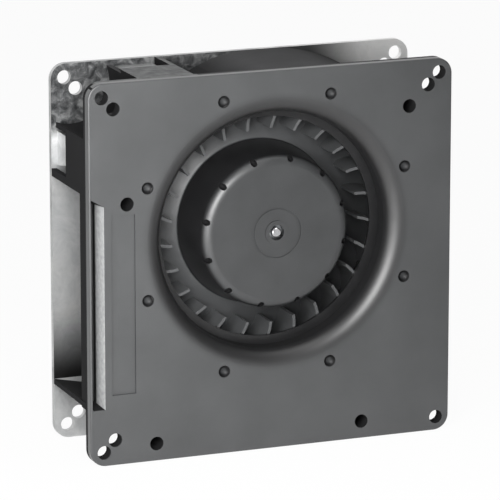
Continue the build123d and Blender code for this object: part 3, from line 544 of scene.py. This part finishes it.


# Screws: countersunk with a cross recess; short ones hold the flange, long ones the front housing.
# Zinc-plated steel: bluish white with a faint yellow haze.
haze_patch = 1.6 * MM
zinc_plate, tree, surface = start_material("steel_zinc_plated")
passivation = add_node(
    tree, "ShaderNodeTexNoise", {"Vector": surface.outputs["Object"]},
    {"Scale": 1 / haze_patch, "Detail": 4.0},
)
zinc_tone = add_node(tree, "ShaderNodeValToRGB", {"Fac": passivation.outputs["Fac"]})
set_steps(zinc_tone, (0.32, "#b5bac0"), (0.5, "#c4c6c6"), (0.68, "#cbc8b8"))
zinc_gloss = add_node(
    tree, "ShaderNodeMapRange", {"Value": passivation.outputs["Fac"]},
    {"From Min": 0.3, "From Max": 0.7, "To Min": 0.24, "To Max": 0.38},
)
metal = add_node(
    tree, "ShaderNodeBsdfPrincipled",
    {"Base Color": zinc_tone.outputs["Color"], "Roughness": zinc_gloss.outputs["Result"]},
    {"Metallic": 1.0},
)
add_node(tree, "ShaderNodeOutputMaterial", {"Surface": metal.outputs["BSDF"]})
dress(zinc_plate, "housing_screws", "motor_screws")


# Rotor yoke: a deep-drawn steel cup that closes the magnet's field and is pressed into the hub.
# Drawn and zinc-plated steel: greyer than the screws, with lines along the draw.
yoke_line = 0.6 * MM  # The real lines' width is too fine to show, so this is coarser.
drawn_yoke, tree, surface = start_material("steel_deep_drawn_zinc_plated")
yoke_lines = add_node(
    tree, "ShaderNodeMapping", {"Vector": surface.outputs["Object"]}, {"Scale": (1, 0.08, 1)},
)
yoke_draw = add_node(
    tree, "ShaderNodeTexNoise", {"Vector": yoke_lines.outputs["Vector"]},
    {"Scale": 1 / yoke_line, "Detail": 3.0},
)
yoke_tone = add_node(tree, "ShaderNodeValToRGB", {"Fac": yoke_draw.outputs["Fac"]})
set_steps(yoke_tone, (0.3, "#9a9da1"), (0.7, "#b6b8bb"))
yoke_relief = add_node(
    tree, "ShaderNodeBump", {"Height": yoke_draw.outputs["Fac"]},
    {"Strength": 0.25, "Distance": 0.02 * MM},
)
metal = add_node(
    tree, "ShaderNodeBsdfPrincipled",
    {"Base Color": yoke_tone.outputs["Color"], "Normal": yoke_relief.outputs["Normal"]},
    {"Metallic": 1.0, "Roughness": 0.36},
)
add_node(tree, "ShaderNodeOutputMaterial", {"Surface": metal.outputs["BSDF"]})
dress(drawn_yoke, "rotor_yoke")


# Magnet: a strip of ferrite powder bound in rubber, rolled into a ring and pressed into the yoke.
# Bound ferrite: brown-black and dull, with pale specks painted in as glints of the powder.
powder_grain = 0.12 * MM  # The real powder is too fine to show, so this is coarser.
bound_ferrite, tree, surface = start_material("ferrite_bound")
powder = add_node(
    tree, "ShaderNodeTexNoise", {"Vector": surface.outputs["Object"]},
    {"Scale": 1 / powder_grain, "Detail": 2.0},
)
powder_tone = add_node(tree, "ShaderNodeValToRGB", {"Fac": powder.outputs["Fac"]})
set_steps(powder_tone, (0.4, "#26231f"), (0.68, "#3a3632"), (0.75, "#6a655f"))
powder_relief = add_node(
    tree, "ShaderNodeBump", {"Height": powder.outputs["Fac"]},
    {"Strength": 0.3, "Distance": 0.01 * MM},
)
magnet = add_node(
    tree, "ShaderNodeBsdfPrincipled",
    {"Base Color": powder_tone.outputs["Color"], "Normal": powder_relief.outputs["Normal"]},
    {"Roughness": 0.6, "IOR": 1.6},
)
add_node(tree, "ShaderNodeOutputMaterial", {"Surface": magnet.outputs["BSDF"]})
dress(bound_ferrite, "rotor_magnet")


# Shaft: a hardened pin, ground all over, pressed into the yoke's collar; its tip shows in the hub.
# Ground shaft steel: a bright mirror with fine marks round the pin.
shaft_mark = 1.2 * MM  # Its length; it is a twentieth as wide.
shaft_steel, tree, surface = start_material("shaft_steel_ground")
shaft_marks = add_node(
    tree, "ShaderNodeMapping", {"Vector": surface.outputs["Object"]}, {"Scale": (1, 20, 1)},
)
shaft_grinding = add_node(
    tree, "ShaderNodeTexNoise", {"Vector": shaft_marks.outputs["Vector"]},
    {"Scale": 1 / shaft_mark, "Detail": 2.0},
)
shaft_gloss = add_node(
    tree, "ShaderNodeMapRange", {"Value": shaft_grinding.outputs["Fac"]},
    {"From Min": 0.3, "From Max": 0.7, "To Min": 0.14, "To Max": 0.3},
)
metal = add_node(
    tree, "ShaderNodeBsdfPrincipled", {"Roughness": shaft_gloss.outputs["Result"]},
    {"Base Color": linear("#d6d6d8"), "Metallic": 1.0},
)
add_node(tree, "ShaderNodeOutputMaterial", {"Surface": metal.outputs["BSDF"]})
dress(shaft_steel, "rotor_shaft")


# Disc spring and retaining ring: stamped steel that preloads the bearings and holds the shaft.
# Tempered spring steel: dark grey, tinted blue and straw by the heat.
temper_patch = 1.8 * MM
tempered_steel, tree, surface = start_material("spring_steel_tempered")
temper = add_node(
    tree, "ShaderNodeTexNoise", {"Vector": surface.outputs["Object"]},
    {"Scale": 1 / temper_patch, "Detail": 3.0},
)
temper_tone = add_node(tree, "ShaderNodeValToRGB", {"Fac": temper.outputs["Fac"]})
set_steps(temper_tone, (0.3, "#4d5566"), (0.5, "#646468"), (0.7, "#77695a"))
temper_gloss = add_node(
    tree, "ShaderNodeMapRange", {"Value": temper.outputs["Fac"]},
    {"From Min": 0.3, "From Max": 0.7, "To Min": 0.26, "To Max": 0.4},
)
metal = add_node(
    tree, "ShaderNodeBsdfPrincipled",
    {"Base Color": temper_tone.outputs["Color"], "Roughness": temper_gloss.outputs["Result"]},
    {"Metallic": 1.0},
)
add_node(tree, "ShaderNodeOutputMaterial", {"Surface": metal.outputs["BSDF"]})
dress(tempered_steel, "disc_spring", "retaining_ring")


# Tube plug: a cap pressed into the bearing tube's rear end to keep dust off the bearing.
# Black polyamide, moulded: satin, with a faint grain from the die.
cap_grain_size = 0.5 * MM  # The real grain of about 0.1 mm is too fine to show, so this is coarser.
black_polyamide, tree, surface = start_material("polyamide_moulded_black")
cap_grain = add_node(
    tree, "ShaderNodeTexNoise", {"Vector": surface.outputs["Object"]},
    {"Scale": 1 / cap_grain_size, "Detail": 3.0},
)
cap_tone = add_node(tree, "ShaderNodeValToRGB", {"Fac": cap_grain.outputs["Fac"]})
set_steps(cap_tone, (0.3, "#242425"), (0.7, "#303031"))
cap_relief = add_node(
    tree, "ShaderNodeBump", {"Height": cap_grain.outputs["Fac"]},
    {"Strength": 0.3, "Distance": 0.02 * MM},
)
plastic = add_node(
    tree, "ShaderNodeBsdfPrincipled",
    {"Base Color": cap_tone.outputs["Color"], "Normal": cap_relief.outputs["Normal"]},
    {"Roughness": 0.45, "IOR": 1.53},
)
add_node(tree, "ShaderNodeOutputMaterial", {"Surface": plastic.outputs["BSDF"]})
dress(black_polyamide, "tube_plug")


# Impeller: one moulding with the hub cap, cone, blades and front ring, pressed over the yoke.
# Glass-filled polyamide: its grained skin is satin and dark grey. The front ring, the hub's side
# and its pockets are smoother and painted nearly black, as painted shade.
ring_inner_r = 35.1 * MM
ring_end_y = -7.2 * MM
hub_side_r = 26.6 * MM
pocket_rim_r = 24.15 * MM
pocket_floor_y = -16.6 * MM
flow_patch = 9 * MM
skin_grain = 0.4 * MM  # The real grain of about 0.1 mm is too fine to show, so this is coarser.

impeller_polyamide, tree, surface = start_material("polyamide_moulded_impeller")
facing = add_node(tree, "ShaderNodeSeparateXYZ", {"Vector": surface.outputs["Normal"]})
face_on = add_node(tree, "ShaderNodeMath", {0: facing.outputs["Y"]}, operation="ABSOLUTE")
spot = add_node(tree, "ShaderNodeSeparateXYZ", {"Vector": surface.outputs["Object"]})
from_axis = add_node(
    tree, "ShaderNodeMapping", {"Vector": surface.outputs["Object"]},
    {"Location": (-hub_x, 0, -hub_z), "Scale": (1, 0, 1)},
)
reach = add_node(
    tree, "ShaderNodeVectorMath", {0: from_axis.outputs["Vector"]}, operation="LENGTH",
)
turned_away = add_node(
    tree, "ShaderNodeMapRange", {"Value": face_on.outputs[0]},
    {"From Min": 0.75, "From Max": 0.35},
)
# The places painted in shade and made smoother: the limits that bound them, then how the limits
# join.
# A limit on a face is its normal's share along the axis, which is 1 where the face is square to it.
places = {"turned away": turned_away.outputs["Result"]}
for place, measure, side, limit in (
    ("near axis", reach.outputs["Value"], "LESS_THAN", hub_side_r),
    ("inside rim", reach.outputs["Value"], "LESS_THAN", pocket_rim_r),
    ("past eye", reach.outputs["Value"], "GREATER_THAN", ring_inner_r),
    ("before blades", spot.outputs["Y"], "LESS_THAN", ring_end_y),
    ("behind cap", spot.outputs["Y"], "GREATER_THAN", pocket_floor_y),
    ("flat", face_on.outputs[0], "GREATER_THAN", 0.93),
    ("upright", face_on.outputs[0], "LESS_THAN", 0.3),
):
    places[place] = add_node(
        tree, "ShaderNodeMath", {0: measure}, {1: limit}, operation=side,
    ).outputs[0]
for place, operation, first, second in (
    ("hub side", "MULTIPLY", "near axis", "turned away"),
    ("front ring", "MULTIPLY", "past eye", "before blades"),
    ("outer faces", "MAXIMUM", "hub side", "front ring"),
    ("flat behind cap", "MULTIPLY", "flat", "behind cap"),
    ("pocket floor", "MULTIPLY", "flat behind cap", "near axis"),
    ("pocket wall", "MULTIPLY", "upright", "inside rim"),
    ("pocket", "MAXIMUM", "pocket floor", "pocket wall"),
    ("polished", "MAXIMUM", "outer faces", "pocket"),
):
    places[place] = add_node(
        tree, "ShaderNodeMath", {0: places[first], 1: places[second]}, operation=operation,
    ).outputs[0]

spin_flow = add_node(
    tree, "ShaderNodeTexNoise", {"Vector": surface.outputs["Object"]},
    {"Scale": 1 / flow_patch, "Detail": 4.0},
)
grained_tone = add_node(tree, "ShaderNodeValToRGB", {"Fac": spin_flow.outputs["Fac"]})
set_steps(grained_tone, (0.3, "#404142"), (0.7, "#4a4b4c"))
impeller_tone = grained_tone.outputs["Color"]
# The hub is darker, and the shaded, smoother places take a near-black painted shade.
for place, dark, light in (
    ("near axis", "#28292a", "#303132"),
    ("polished", "#141415", "#1b1b1c"),
):
    tone = add_node(tree, "ShaderNodeValToRGB", {"Fac": spin_flow.outputs["Fac"]})
    set_steps(tone, (0.3, dark), (0.7, light))
    impeller_tone = add_node(
        tree, "ShaderNodeMix",
        {"Factor": places[place], "A": impeller_tone, "B": tone.outputs["Color"]},
        data_type="RGBA",
    ).outputs["Result"]
impeller_gloss = add_node(
    tree, "ShaderNodeMapRange", {"Value": places["polished"]}, {"To Min": 0.50, "To Max": 0.32},
)
# The moulded skin shines as a clear coat would: less on the shaded, smoother places, not at all in
# a pocket.
open_shine = add_node(
    tree, "ShaderNodeMapRange", {"Value": places["polished"]}, {"To Min": 1.0, "To Max": 0.6},
)
outside_pocket = add_node(
    tree, "ShaderNodeMath", {1: places["pocket"]}, {0: 1.0}, operation="SUBTRACT",
)
shine = add_node(
    tree, "ShaderNodeMath", {0: open_shine.outputs["Result"], 1: outside_pocket.outputs[0]},
    operation="MULTIPLY",
)
fine_grain = add_node(
    tree, "ShaderNodeTexNoise", {"Vector": surface.outputs["Object"]},
    {"Scale": 1 / skin_grain, "Detail": 2.0},
)
fine_relief = add_node(
    tree, "ShaderNodeBump", {"Height": fine_grain.outputs["Fac"]},
    {"Strength": 0.25, "Distance": 0.02 * MM},
)
plastic = add_node(
    tree, "ShaderNodeBsdfPrincipled",
    {
        "Base Color": impeller_tone,
        "Roughness": impeller_gloss.outputs["Result"],
        "Coat Weight": shine.outputs[0],
        "Normal": fine_relief.outputs["Normal"],
        "Coat Normal": fine_relief.outputs["Normal"],
    },
    {"IOR": 1.5, "Specular IOR Level": 0.2, "Coat Roughness": 0.43, "Coat IOR": 1.56},
)
add_node(tree, "ShaderNodeOutputMaterial", {"Surface": plastic.outputs["BSDF"]})
dress(impeller_polyamide, "impeller")


# Front housing: one injection moulding, screwed on the rear plate from behind by four screws.
# Glass-filled polyamide: eroded faces are mid grey and satin; walls along the die's draw and the
# nozzle's roll are dull and painted nearly black as painted shade, tops facing up are painted
# lighter as painted light, and the slot's left-facing wall is pale.
housing_low, housing_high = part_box("front_housing")
plate_back_y = housing_low[1] + 2.8 * MM
rim_offset = housing_high[0] - 1.2 * MM
roll_start_r = 40.5 * MM
roll_end_r = 45.0 * MM
panel_right = housing_low[0] + 17 * MM
panel_floor_y = housing_low[1] + 0.5 * MM
dimple_lip_y = housing_low[1] + 0.10 * MM
dimple_wall_y = housing_low[1] + 0.45 * MM
block_right = housing_low[0] + 37 * MM
block_top_z = housing_high[2] - 1 * MM
crown_z = housing_high[2] - 14 * MM
slot_wall_left = housing_low[0] + 3.4 * MM
slot_wall_right = housing_low[0] + 5.4 * MM
slot_foot = housing_low[2] + 18 * MM
slot_head = housing_low[2] + 88 * MM
slot_cut_y = housing_low[1] + 6.5 * MM
flow_mark = 22 * MM
draw_mark = 2.5 * MM
pale_patch = 1.4 * MM
erosion_grain = 0.45 * MM  # The real grain of 0.15 mm is too fine to show, so this is coarser.

housing_polyamide, tree, surface = start_material("polyamide_moulded_dark_grey")
facing = add_node(tree, "ShaderNodeSeparateXYZ", {"Vector": surface.outputs["Normal"]})
face_on = add_node(tree, "ShaderNodeMath", {0: facing.outputs["Y"]}, operation="ABSOLUTE")
spot = add_node(tree, "ShaderNodeSeparateXYZ", {"Vector": surface.outputs["Object"]})
from_axis = add_node(
    tree, "ShaderNodeMapping", {"Vector": surface.outputs["Object"]},
    {"Location": (-hub_x, 0, -hub_z), "Scale": (1, 0, 1)},
)
reach = add_node(
    tree, "ShaderNodeVectorMath", {0: from_axis.outputs["Vector"]}, operation="LENGTH",
)
from_middle = add_node(
    tree, "ShaderNodeMapping", {"Vector": surface.outputs["Object"]},
    {"Location": (0, 0, -housing_high[2] / 2)},
)
offset = add_node(
    tree, "ShaderNodeVectorMath", {0: from_middle.outputs["Vector"]}, operation="ABSOLUTE",
)
offsets = add_node(tree, "ShaderNodeSeparateXYZ", {"Vector": offset.outputs["Vector"]})
side_offset = add_node(
    tree, "ShaderNodeMath", {0: offsets.outputs["X"], 1: offsets.outputs["Z"]},
    operation="MAXIMUM",
)
# The places with a finish or painted light of their own, lighter than the painted shade elsewhere:
# soft limits, hard limits, then how the limits join.
# A limit on a face is its normal's share along that direction: 1 is square on.
places = {"face on": face_on.outputs[0]}
for place, measure, start, full, course in (
    ("faces along axis", face_on.outputs[0], 0.80, 1.0, "LINEAR"),
    ("faces up", facing.outputs["Z"], 0.88, 0.99, "LINEAR"),
    ("off the roll", reach.outputs["Value"], roll_start_r, roll_end_r, "SMOOTHSTEP"),
    ("set back", spot.outputs["Y"], dimple_lip_y, dimple_wall_y, "LINEAR"),
    ("cut depth", spot.outputs["Y"], slot_cut_y + 0.4 * MM, slot_cut_y - 0.4 * MM, "LINEAR"),
):
    places[place] = add_node(
        tree, "ShaderNodeMapRange", {"Value": measure}, {"From Min": start, "From Max": full},
        interpolation_type=course,
    ).outputs["Result"]
for place, measure, side, limit in (
    ("in plate", spot.outputs["Y"], "LESS_THAN", plate_back_y),
    ("behind plate", spot.outputs["Y"], "GREATER_THAN", plate_back_y),
    ("at rim", side_offset.outputs[0], "GREATER_THAN", rim_offset),
    ("within rim", side_offset.outputs[0], "LESS_THAN", rim_offset),
    ("over panel", spot.outputs["X"], "LESS_THAN", panel_right),
    ("past panel", spot.outputs["X"], "GREATER_THAN", panel_right),
    ("off panel floor", spot.outputs["Y"], "LESS_THAN", panel_floor_y),
    ("past nozzle", reach.outputs["Value"], "GREATER_THAN", roll_end_r),
    ("over block", spot.outputs["X"], "LESS_THAN", block_right),
    ("block height", spot.outputs["Z"], "GREATER_THAN", block_top_z),
    ("crown height", spot.outputs["Z"], "GREATER_THAN", crown_z),
    ("right of slot", spot.outputs["X"], "GREATER_THAN", slot_wall_left),
    ("left of panel", spot.outputs["X"], "LESS_THAN", slot_wall_right),
    ("above foot", spot.outputs["Z"], "GREATER_THAN", slot_foot),
    ("below head", spot.outputs["Z"], "LESS_THAN", slot_head),
    ("faces left", facing.outputs["X"], "LESS_THAN", -0.6),
):
    places[place] = add_node(
        tree, "ShaderNodeMath", {0: measure}, {1: limit}, operation=side,
    ).outputs[0]
for place, operation, first, second in (
    ("flat face", "MULTIPLY", "faces along axis", "off the roll"),
    ("eroded face", "MULTIPLY", "flat face", "in plate"),
    ("plate rim", "MULTIPLY", "at rim", "in plate"),
    ("panel frame", "MULTIPLY", "over panel", "off panel floor"),
    ("rim and frame", "MAXIMUM", "plate rim", "panel frame"),
    ("eroded", "MAXIMUM", "eroded face", "rim and frame"),
    ("skin", "MAXIMUM", "face on", "plate rim"),
    ("open plate", "MULTIPLY", "past panel", "within rim"),
    ("dimpled field", "MULTIPLY", "past nozzle", "open plate"),
    ("dimple", "MULTIPLY", "dimpled field", "set back"),
    ("upper scroll", "MULTIPLY", "crown height", "behind plate"),
    ("crown", "MULTIPLY", "faces up", "upper scroll"),
    ("block", "MULTIPLY", "over block", "behind plate"),
    ("level at top", "MULTIPLY", "faces up", "block height"),
    ("block top", "MULTIPLY", "block", "level at top"),
    ("slot width", "MULTIPLY", "right of slot", "left of panel"),
    ("slot height", "MULTIPLY", "above foot", "below head"),
    ("slot", "MULTIPLY", "slot width", "slot height"),
    ("cut side", "MULTIPLY", "faces left", "cut depth"),
    ("cut wall", "MULTIPLY", "slot", "cut side"),
):
    places[place] = add_node(
        tree, "ShaderNodeMath", {0: places[first], 1: places[second]}, operation=operation,
    ).outputs[0]

wall_gloss = add_node(
    tree, "ShaderNodeMapRange", {"Value": places["skin"]},
    {"From Min": 0.1, "From Max": 0.4, "To Min": 1.0, "To Max": 0.45},
)
face_gloss = add_node(
    tree, "ShaderNodeMapRange", {"Value": places["face on"]},
    {"From Min": 0.90, "From Max": 1.0, "To Min": 0.45, "To Max": 0.50},
)
skin_gloss = add_node(
    tree, "ShaderNodeMath", {0: wall_gloss.outputs["Result"], 1: face_gloss.outputs["Result"]},
    operation="MAXIMUM",
)
# The open skin shines as a clear coat would, and drawn walls, bores and dimples don't.
open_skin = add_node(
    tree, "ShaderNodeMapRange", {"Value": places["skin"]}, {"From Min": 0.1, "From Max": 0.4},
)
outside_dimple = add_node(
    tree, "ShaderNodeMath", {1: places["dimple"]}, {0: 1.0}, operation="SUBTRACT",
)
shine = add_node(
    tree, "ShaderNodeMath", {0: open_skin.outputs["Result"], 1: outside_dimple.outputs[0]},
    operation="MULTIPLY",
)
flow_marks = add_node(
    tree, "ShaderNodeTexNoise", {"Vector": surface.outputs["Object"]},
    {"Scale": 1 / flow_mark, "Detail": 5.0, "Roughness": 0.6},
)
draw_marks = add_node(
    tree, "ShaderNodeTexNoise", {"Vector": surface.outputs["Object"]},
    {"Scale": 1 / draw_mark, "Detail": 3.0},
)
# The slot's left-facing wall is pale, in patches of this size.
pale_patches = add_node(
    tree, "ShaderNodeTexNoise", {"Vector": surface.outputs["Object"]},
    {"Scale": 1 / pale_patch, "Detail": 4.0},
)
# Painted shade: walls, bores and the nozzle's roll take this near-black; only the places below keep
# lighter tones.
shaded_wall_tone = add_node(tree, "ShaderNodeValToRGB", {"Fac": flow_marks.outputs["Fac"]})
set_steps(shaded_wall_tone, (0.3, "#0f0f10"), (0.7, "#161617"))
housing_tone = shaded_wall_tone.outputs["Color"]
# Of these, the scroll's crown and the block's top are painted lighter where they face up: painted
# light.
for place, pattern, dark, light in (
    ("eroded", flow_marks, "#323334", "#3c3d3e"),
    ("crown", flow_marks, "#464647", "#505051"),
    ("block top", draw_marks, "#676869", "#858686"),
    ("cut wall", pale_patches, "#959697", "#aeafaf"),
):
    tone = add_node(tree, "ShaderNodeValToRGB", {"Fac": pattern.outputs["Fac"]})
    set_steps(tone, (0.3, dark), (0.7, light))
    housing_tone = add_node(
        tree, "ShaderNodeMix",
        {"Factor": places[place], "A": housing_tone, "B": tone.outputs["Color"]},
        data_type="RGBA",
    ).outputs["Result"]
erosion = add_node(
    tree, "ShaderNodeTexNoise", {"Vector": surface.outputs["Object"]},
    {"Scale": 1 / erosion_grain, "Detail": 2.0},
)
erosion_relief = add_node(
    tree, "ShaderNodeBump", {"Height": erosion.outputs["Fac"]},
    {"Strength": 0.35, "Distance": 0.03 * MM},
)
plastic = add_node(
    tree, "ShaderNodeBsdfPrincipled",
    {
        "Base Color": housing_tone,
        "Roughness": skin_gloss.outputs[0],
        "Coat Weight": shine.outputs[0],
        "Normal": erosion_relief.outputs["Normal"],
        "Coat Normal": erosion_relief.outputs["Normal"],
    },
    {"IOR": 1.5, "Specular IOR Level": 0.2, "Coat Roughness": 0.47, "Coat IOR": 1.62},
)
add_node(tree, "ShaderNodeOutputMaterial", {"Surface": plastic.outputs["BSDF"]})
dress(housing_polyamide, "front_housing")


# Floor: a plain pale sheet that runs out of sight.
# Coated paper: it shows white to the camera and keeps the blower's shadow. Gloss sees it dark in
# front, under the dim room, and half lit from the blower's back on, under the backdrop.
floor_reach = 4.0
dark_until_y = -0.08
half_lit_from_y = -0.03

floor_mesh = bpy.data.meshes.new("floor")
floor_mesh.from_pydata(
    [(x * floor_reach, y * floor_reach, 0) for x, y in ((-1, -1), (1, -1), (1, 1), (-1, 1))],
    [], [(0, 1, 2, 3)],
)
floor = bpy.data.objects.new("floor", floor_mesh)
bpy.context.scene.collection.objects.link(floor)
pale_sheet, tree, surface = start_material("paper_coated_pale")
rays = add_node(tree, "ShaderNodeLightPath")
mirrored = add_node(
    tree, "ShaderNodeMath",
    {0: rays.outputs["Is Glossy Ray"], 1: rays.outputs["Is Transmission Ray"]},
    operation="MAXIMUM",
)
spot = add_node(tree, "ShaderNodeSeparateXYZ", {"Vector": surface.outputs["Object"]})
under_backdrop = add_node(
    tree, "ShaderNodeMapRange", {"Value": spot.outputs["Y"]},
    {"From Min": dark_until_y, "From Max": half_lit_from_y, "To Max": 0.5},
    interpolation_type="SMOOTHSTEP",
)
mirrored_sheet = add_node(
    tree, "ShaderNodeMath", {0: mirrored.outputs[0], 1: under_backdrop.outputs["Result"]},
    operation="MULTIPLY",
)
seen = add_node(
    tree, "ShaderNodeMath", {0: rays.outputs["Is Camera Ray"], 1: mirrored_sheet.outputs[0]},
    operation="MAXIMUM",
)
paper = add_node(tree, "ShaderNodeBsdfDiffuse", values={"Color": linear("#d8d8d8")})
glow = add_node(tree, "ShaderNodeEmission", values={"Color": (1, 1, 1, 1), "Strength": 1.0})
# A little short of full, so that the shadow stays.
glow_share = add_node(
    tree, "ShaderNodeMath", {0: seen.outputs[0]}, {1: 0.96}, operation="MULTIPLY",
)
sheet = add_node(
    tree, "ShaderNodeMixShader",
    {"Fac": glow_share.outputs[0], 1: paper.outputs["BSDF"], 2: glow.outputs["Emission"]},
)
add_node(tree, "ShaderNodeOutputMaterial", {"Surface": sheet.outputs["Shader"]})
floor_mesh.materials.append(pale_sheet)


# Studio: a dim room whose white backdrop hangs behind the blower and round its sides.
# The camera sees the backdrop everywhere; gloss and glass see it where it hangs, and the dim room
# on the lamps' side.
room_light = 0.07
backdrop_edge = 0.35
backdrop_full = 0.85

world = bpy.data.worlds.new("studio")
world.use_nodes = True
bpy.context.scene.world = world
tree = world.node_tree
tree.nodes.clear()
rays = add_node(tree, "ShaderNodeLightPath")
mirrored = add_node(
    tree, "ShaderNodeMath",
    {0: rays.outputs["Is Glossy Ray"], 1: rays.outputs["Is Transmission Ray"]},
    operation="MAXIMUM",
)
direction = add_node(tree, "ShaderNodeTexCoord")
heading = add_node(tree, "ShaderNodeSeparateXYZ", {"Vector": direction.outputs["Generated"]})
hung = add_node(
    tree, "ShaderNodeMapRange", {"Value": heading.outputs["Y"]},
    {"From Min": backdrop_edge, "From Max": backdrop_full}, interpolation_type="SMOOTHSTEP",
)
mirrored_backdrop = add_node(
    tree, "ShaderNodeMath", {0: mirrored.outputs[0], 1: hung.outputs["Result"]},
    operation="MULTIPLY",
)
seen = add_node(
    tree, "ShaderNodeMath", {0: rays.outputs["Is Camera Ray"], 1: mirrored_backdrop.outputs[0]},
    operation="MAXIMUM",
)
room = add_node(
    tree, "ShaderNodeBackground", values={"Color": (1, 1, 1, 1), "Strength": room_light},
)
backdrop = add_node(
    tree, "ShaderNodeBackground", values={"Color": (1, 1, 1, 1), "Strength": 1.0},
)
both = add_node(
    tree, "ShaderNodeMixShader",
    {"Fac": seen.outputs[0], 1: room.outputs["Background"], 2: backdrop.outputs["Background"]},
)
add_node(tree, "ShaderNodeOutputWorld", {"Surface": both.outputs["Shader"]})


# Lamps: three soft squares, one in front near the camera's left, one low at the left, one overhead.
# Together they light the plastic and the metal at a plain level.
def outward(azimuth, elevation):
    """Gives the direction from the blower to a place round it; azimuth 0 is straight in front."""
    az, el = math.radians(azimuth), math.radians(elevation)
    return Vector((math.sin(az) * math.cos(el), -math.cos(az) * math.cos(el), math.sin(el)))


def hang_lamp(name, azimuth, elevation, distance, size, power):
    """Hangs a square soft lamp that faces the blower's middle, in metres and watts."""
    light = bpy.data.lights.new(name, "AREA")
    light.shape = "SQUARE"
    light.size = size
    light.energy = power
    lamp = bpy.data.objects.new(name, light)
    bpy.context.scene.collection.objects.link(lamp)
    lamp.location = Vector((0, 0, 0.06)) + outward(azimuth, elevation) * distance
    lamp.rotation_euler = outward(azimuth, elevation).to_track_quat("Z", "Y").to_euler()


hang_lamp("front", azimuth=-31, elevation=19, distance=0.37, size=0.20, power=2.55)
hang_lamp("side", azimuth=-60, elevation=-4, distance=0.5, size=0.26, power=1.1)
hang_lamp("over", azimuth=20, elevation=78, distance=0.6, size=0.4, power=1.2)


# Camera: a long lens at the photograph's viewing angle, a little above the blower and to its left.
# Its focal length was fitted in pixels of a frame 500 wide.
to_camera = outward(-21.43, 13.70)
camera_distance = 1.3124
aim_point = Vector((-0.00035, 0, 0.06003))
focal_px = 4156.7
frame_px = 500
sensor_mm = 36.0

lens = bpy.data.cameras.new("camera")
lens.sensor_width = sensor_mm
lens.lens = focal_px / frame_px * sensor_mm
camera = bpy.data.objects.new("camera", lens)
bpy.context.scene.collection.objects.link(camera)
camera.location = aim_point + to_camera * camera_distance
camera.rotation_euler = to_camera.to_track_quat("Z", "Y").to_euler()
bpy.context.scene.camera = camera

bpy.context.scene.view_settings.view_transform = "Standard"
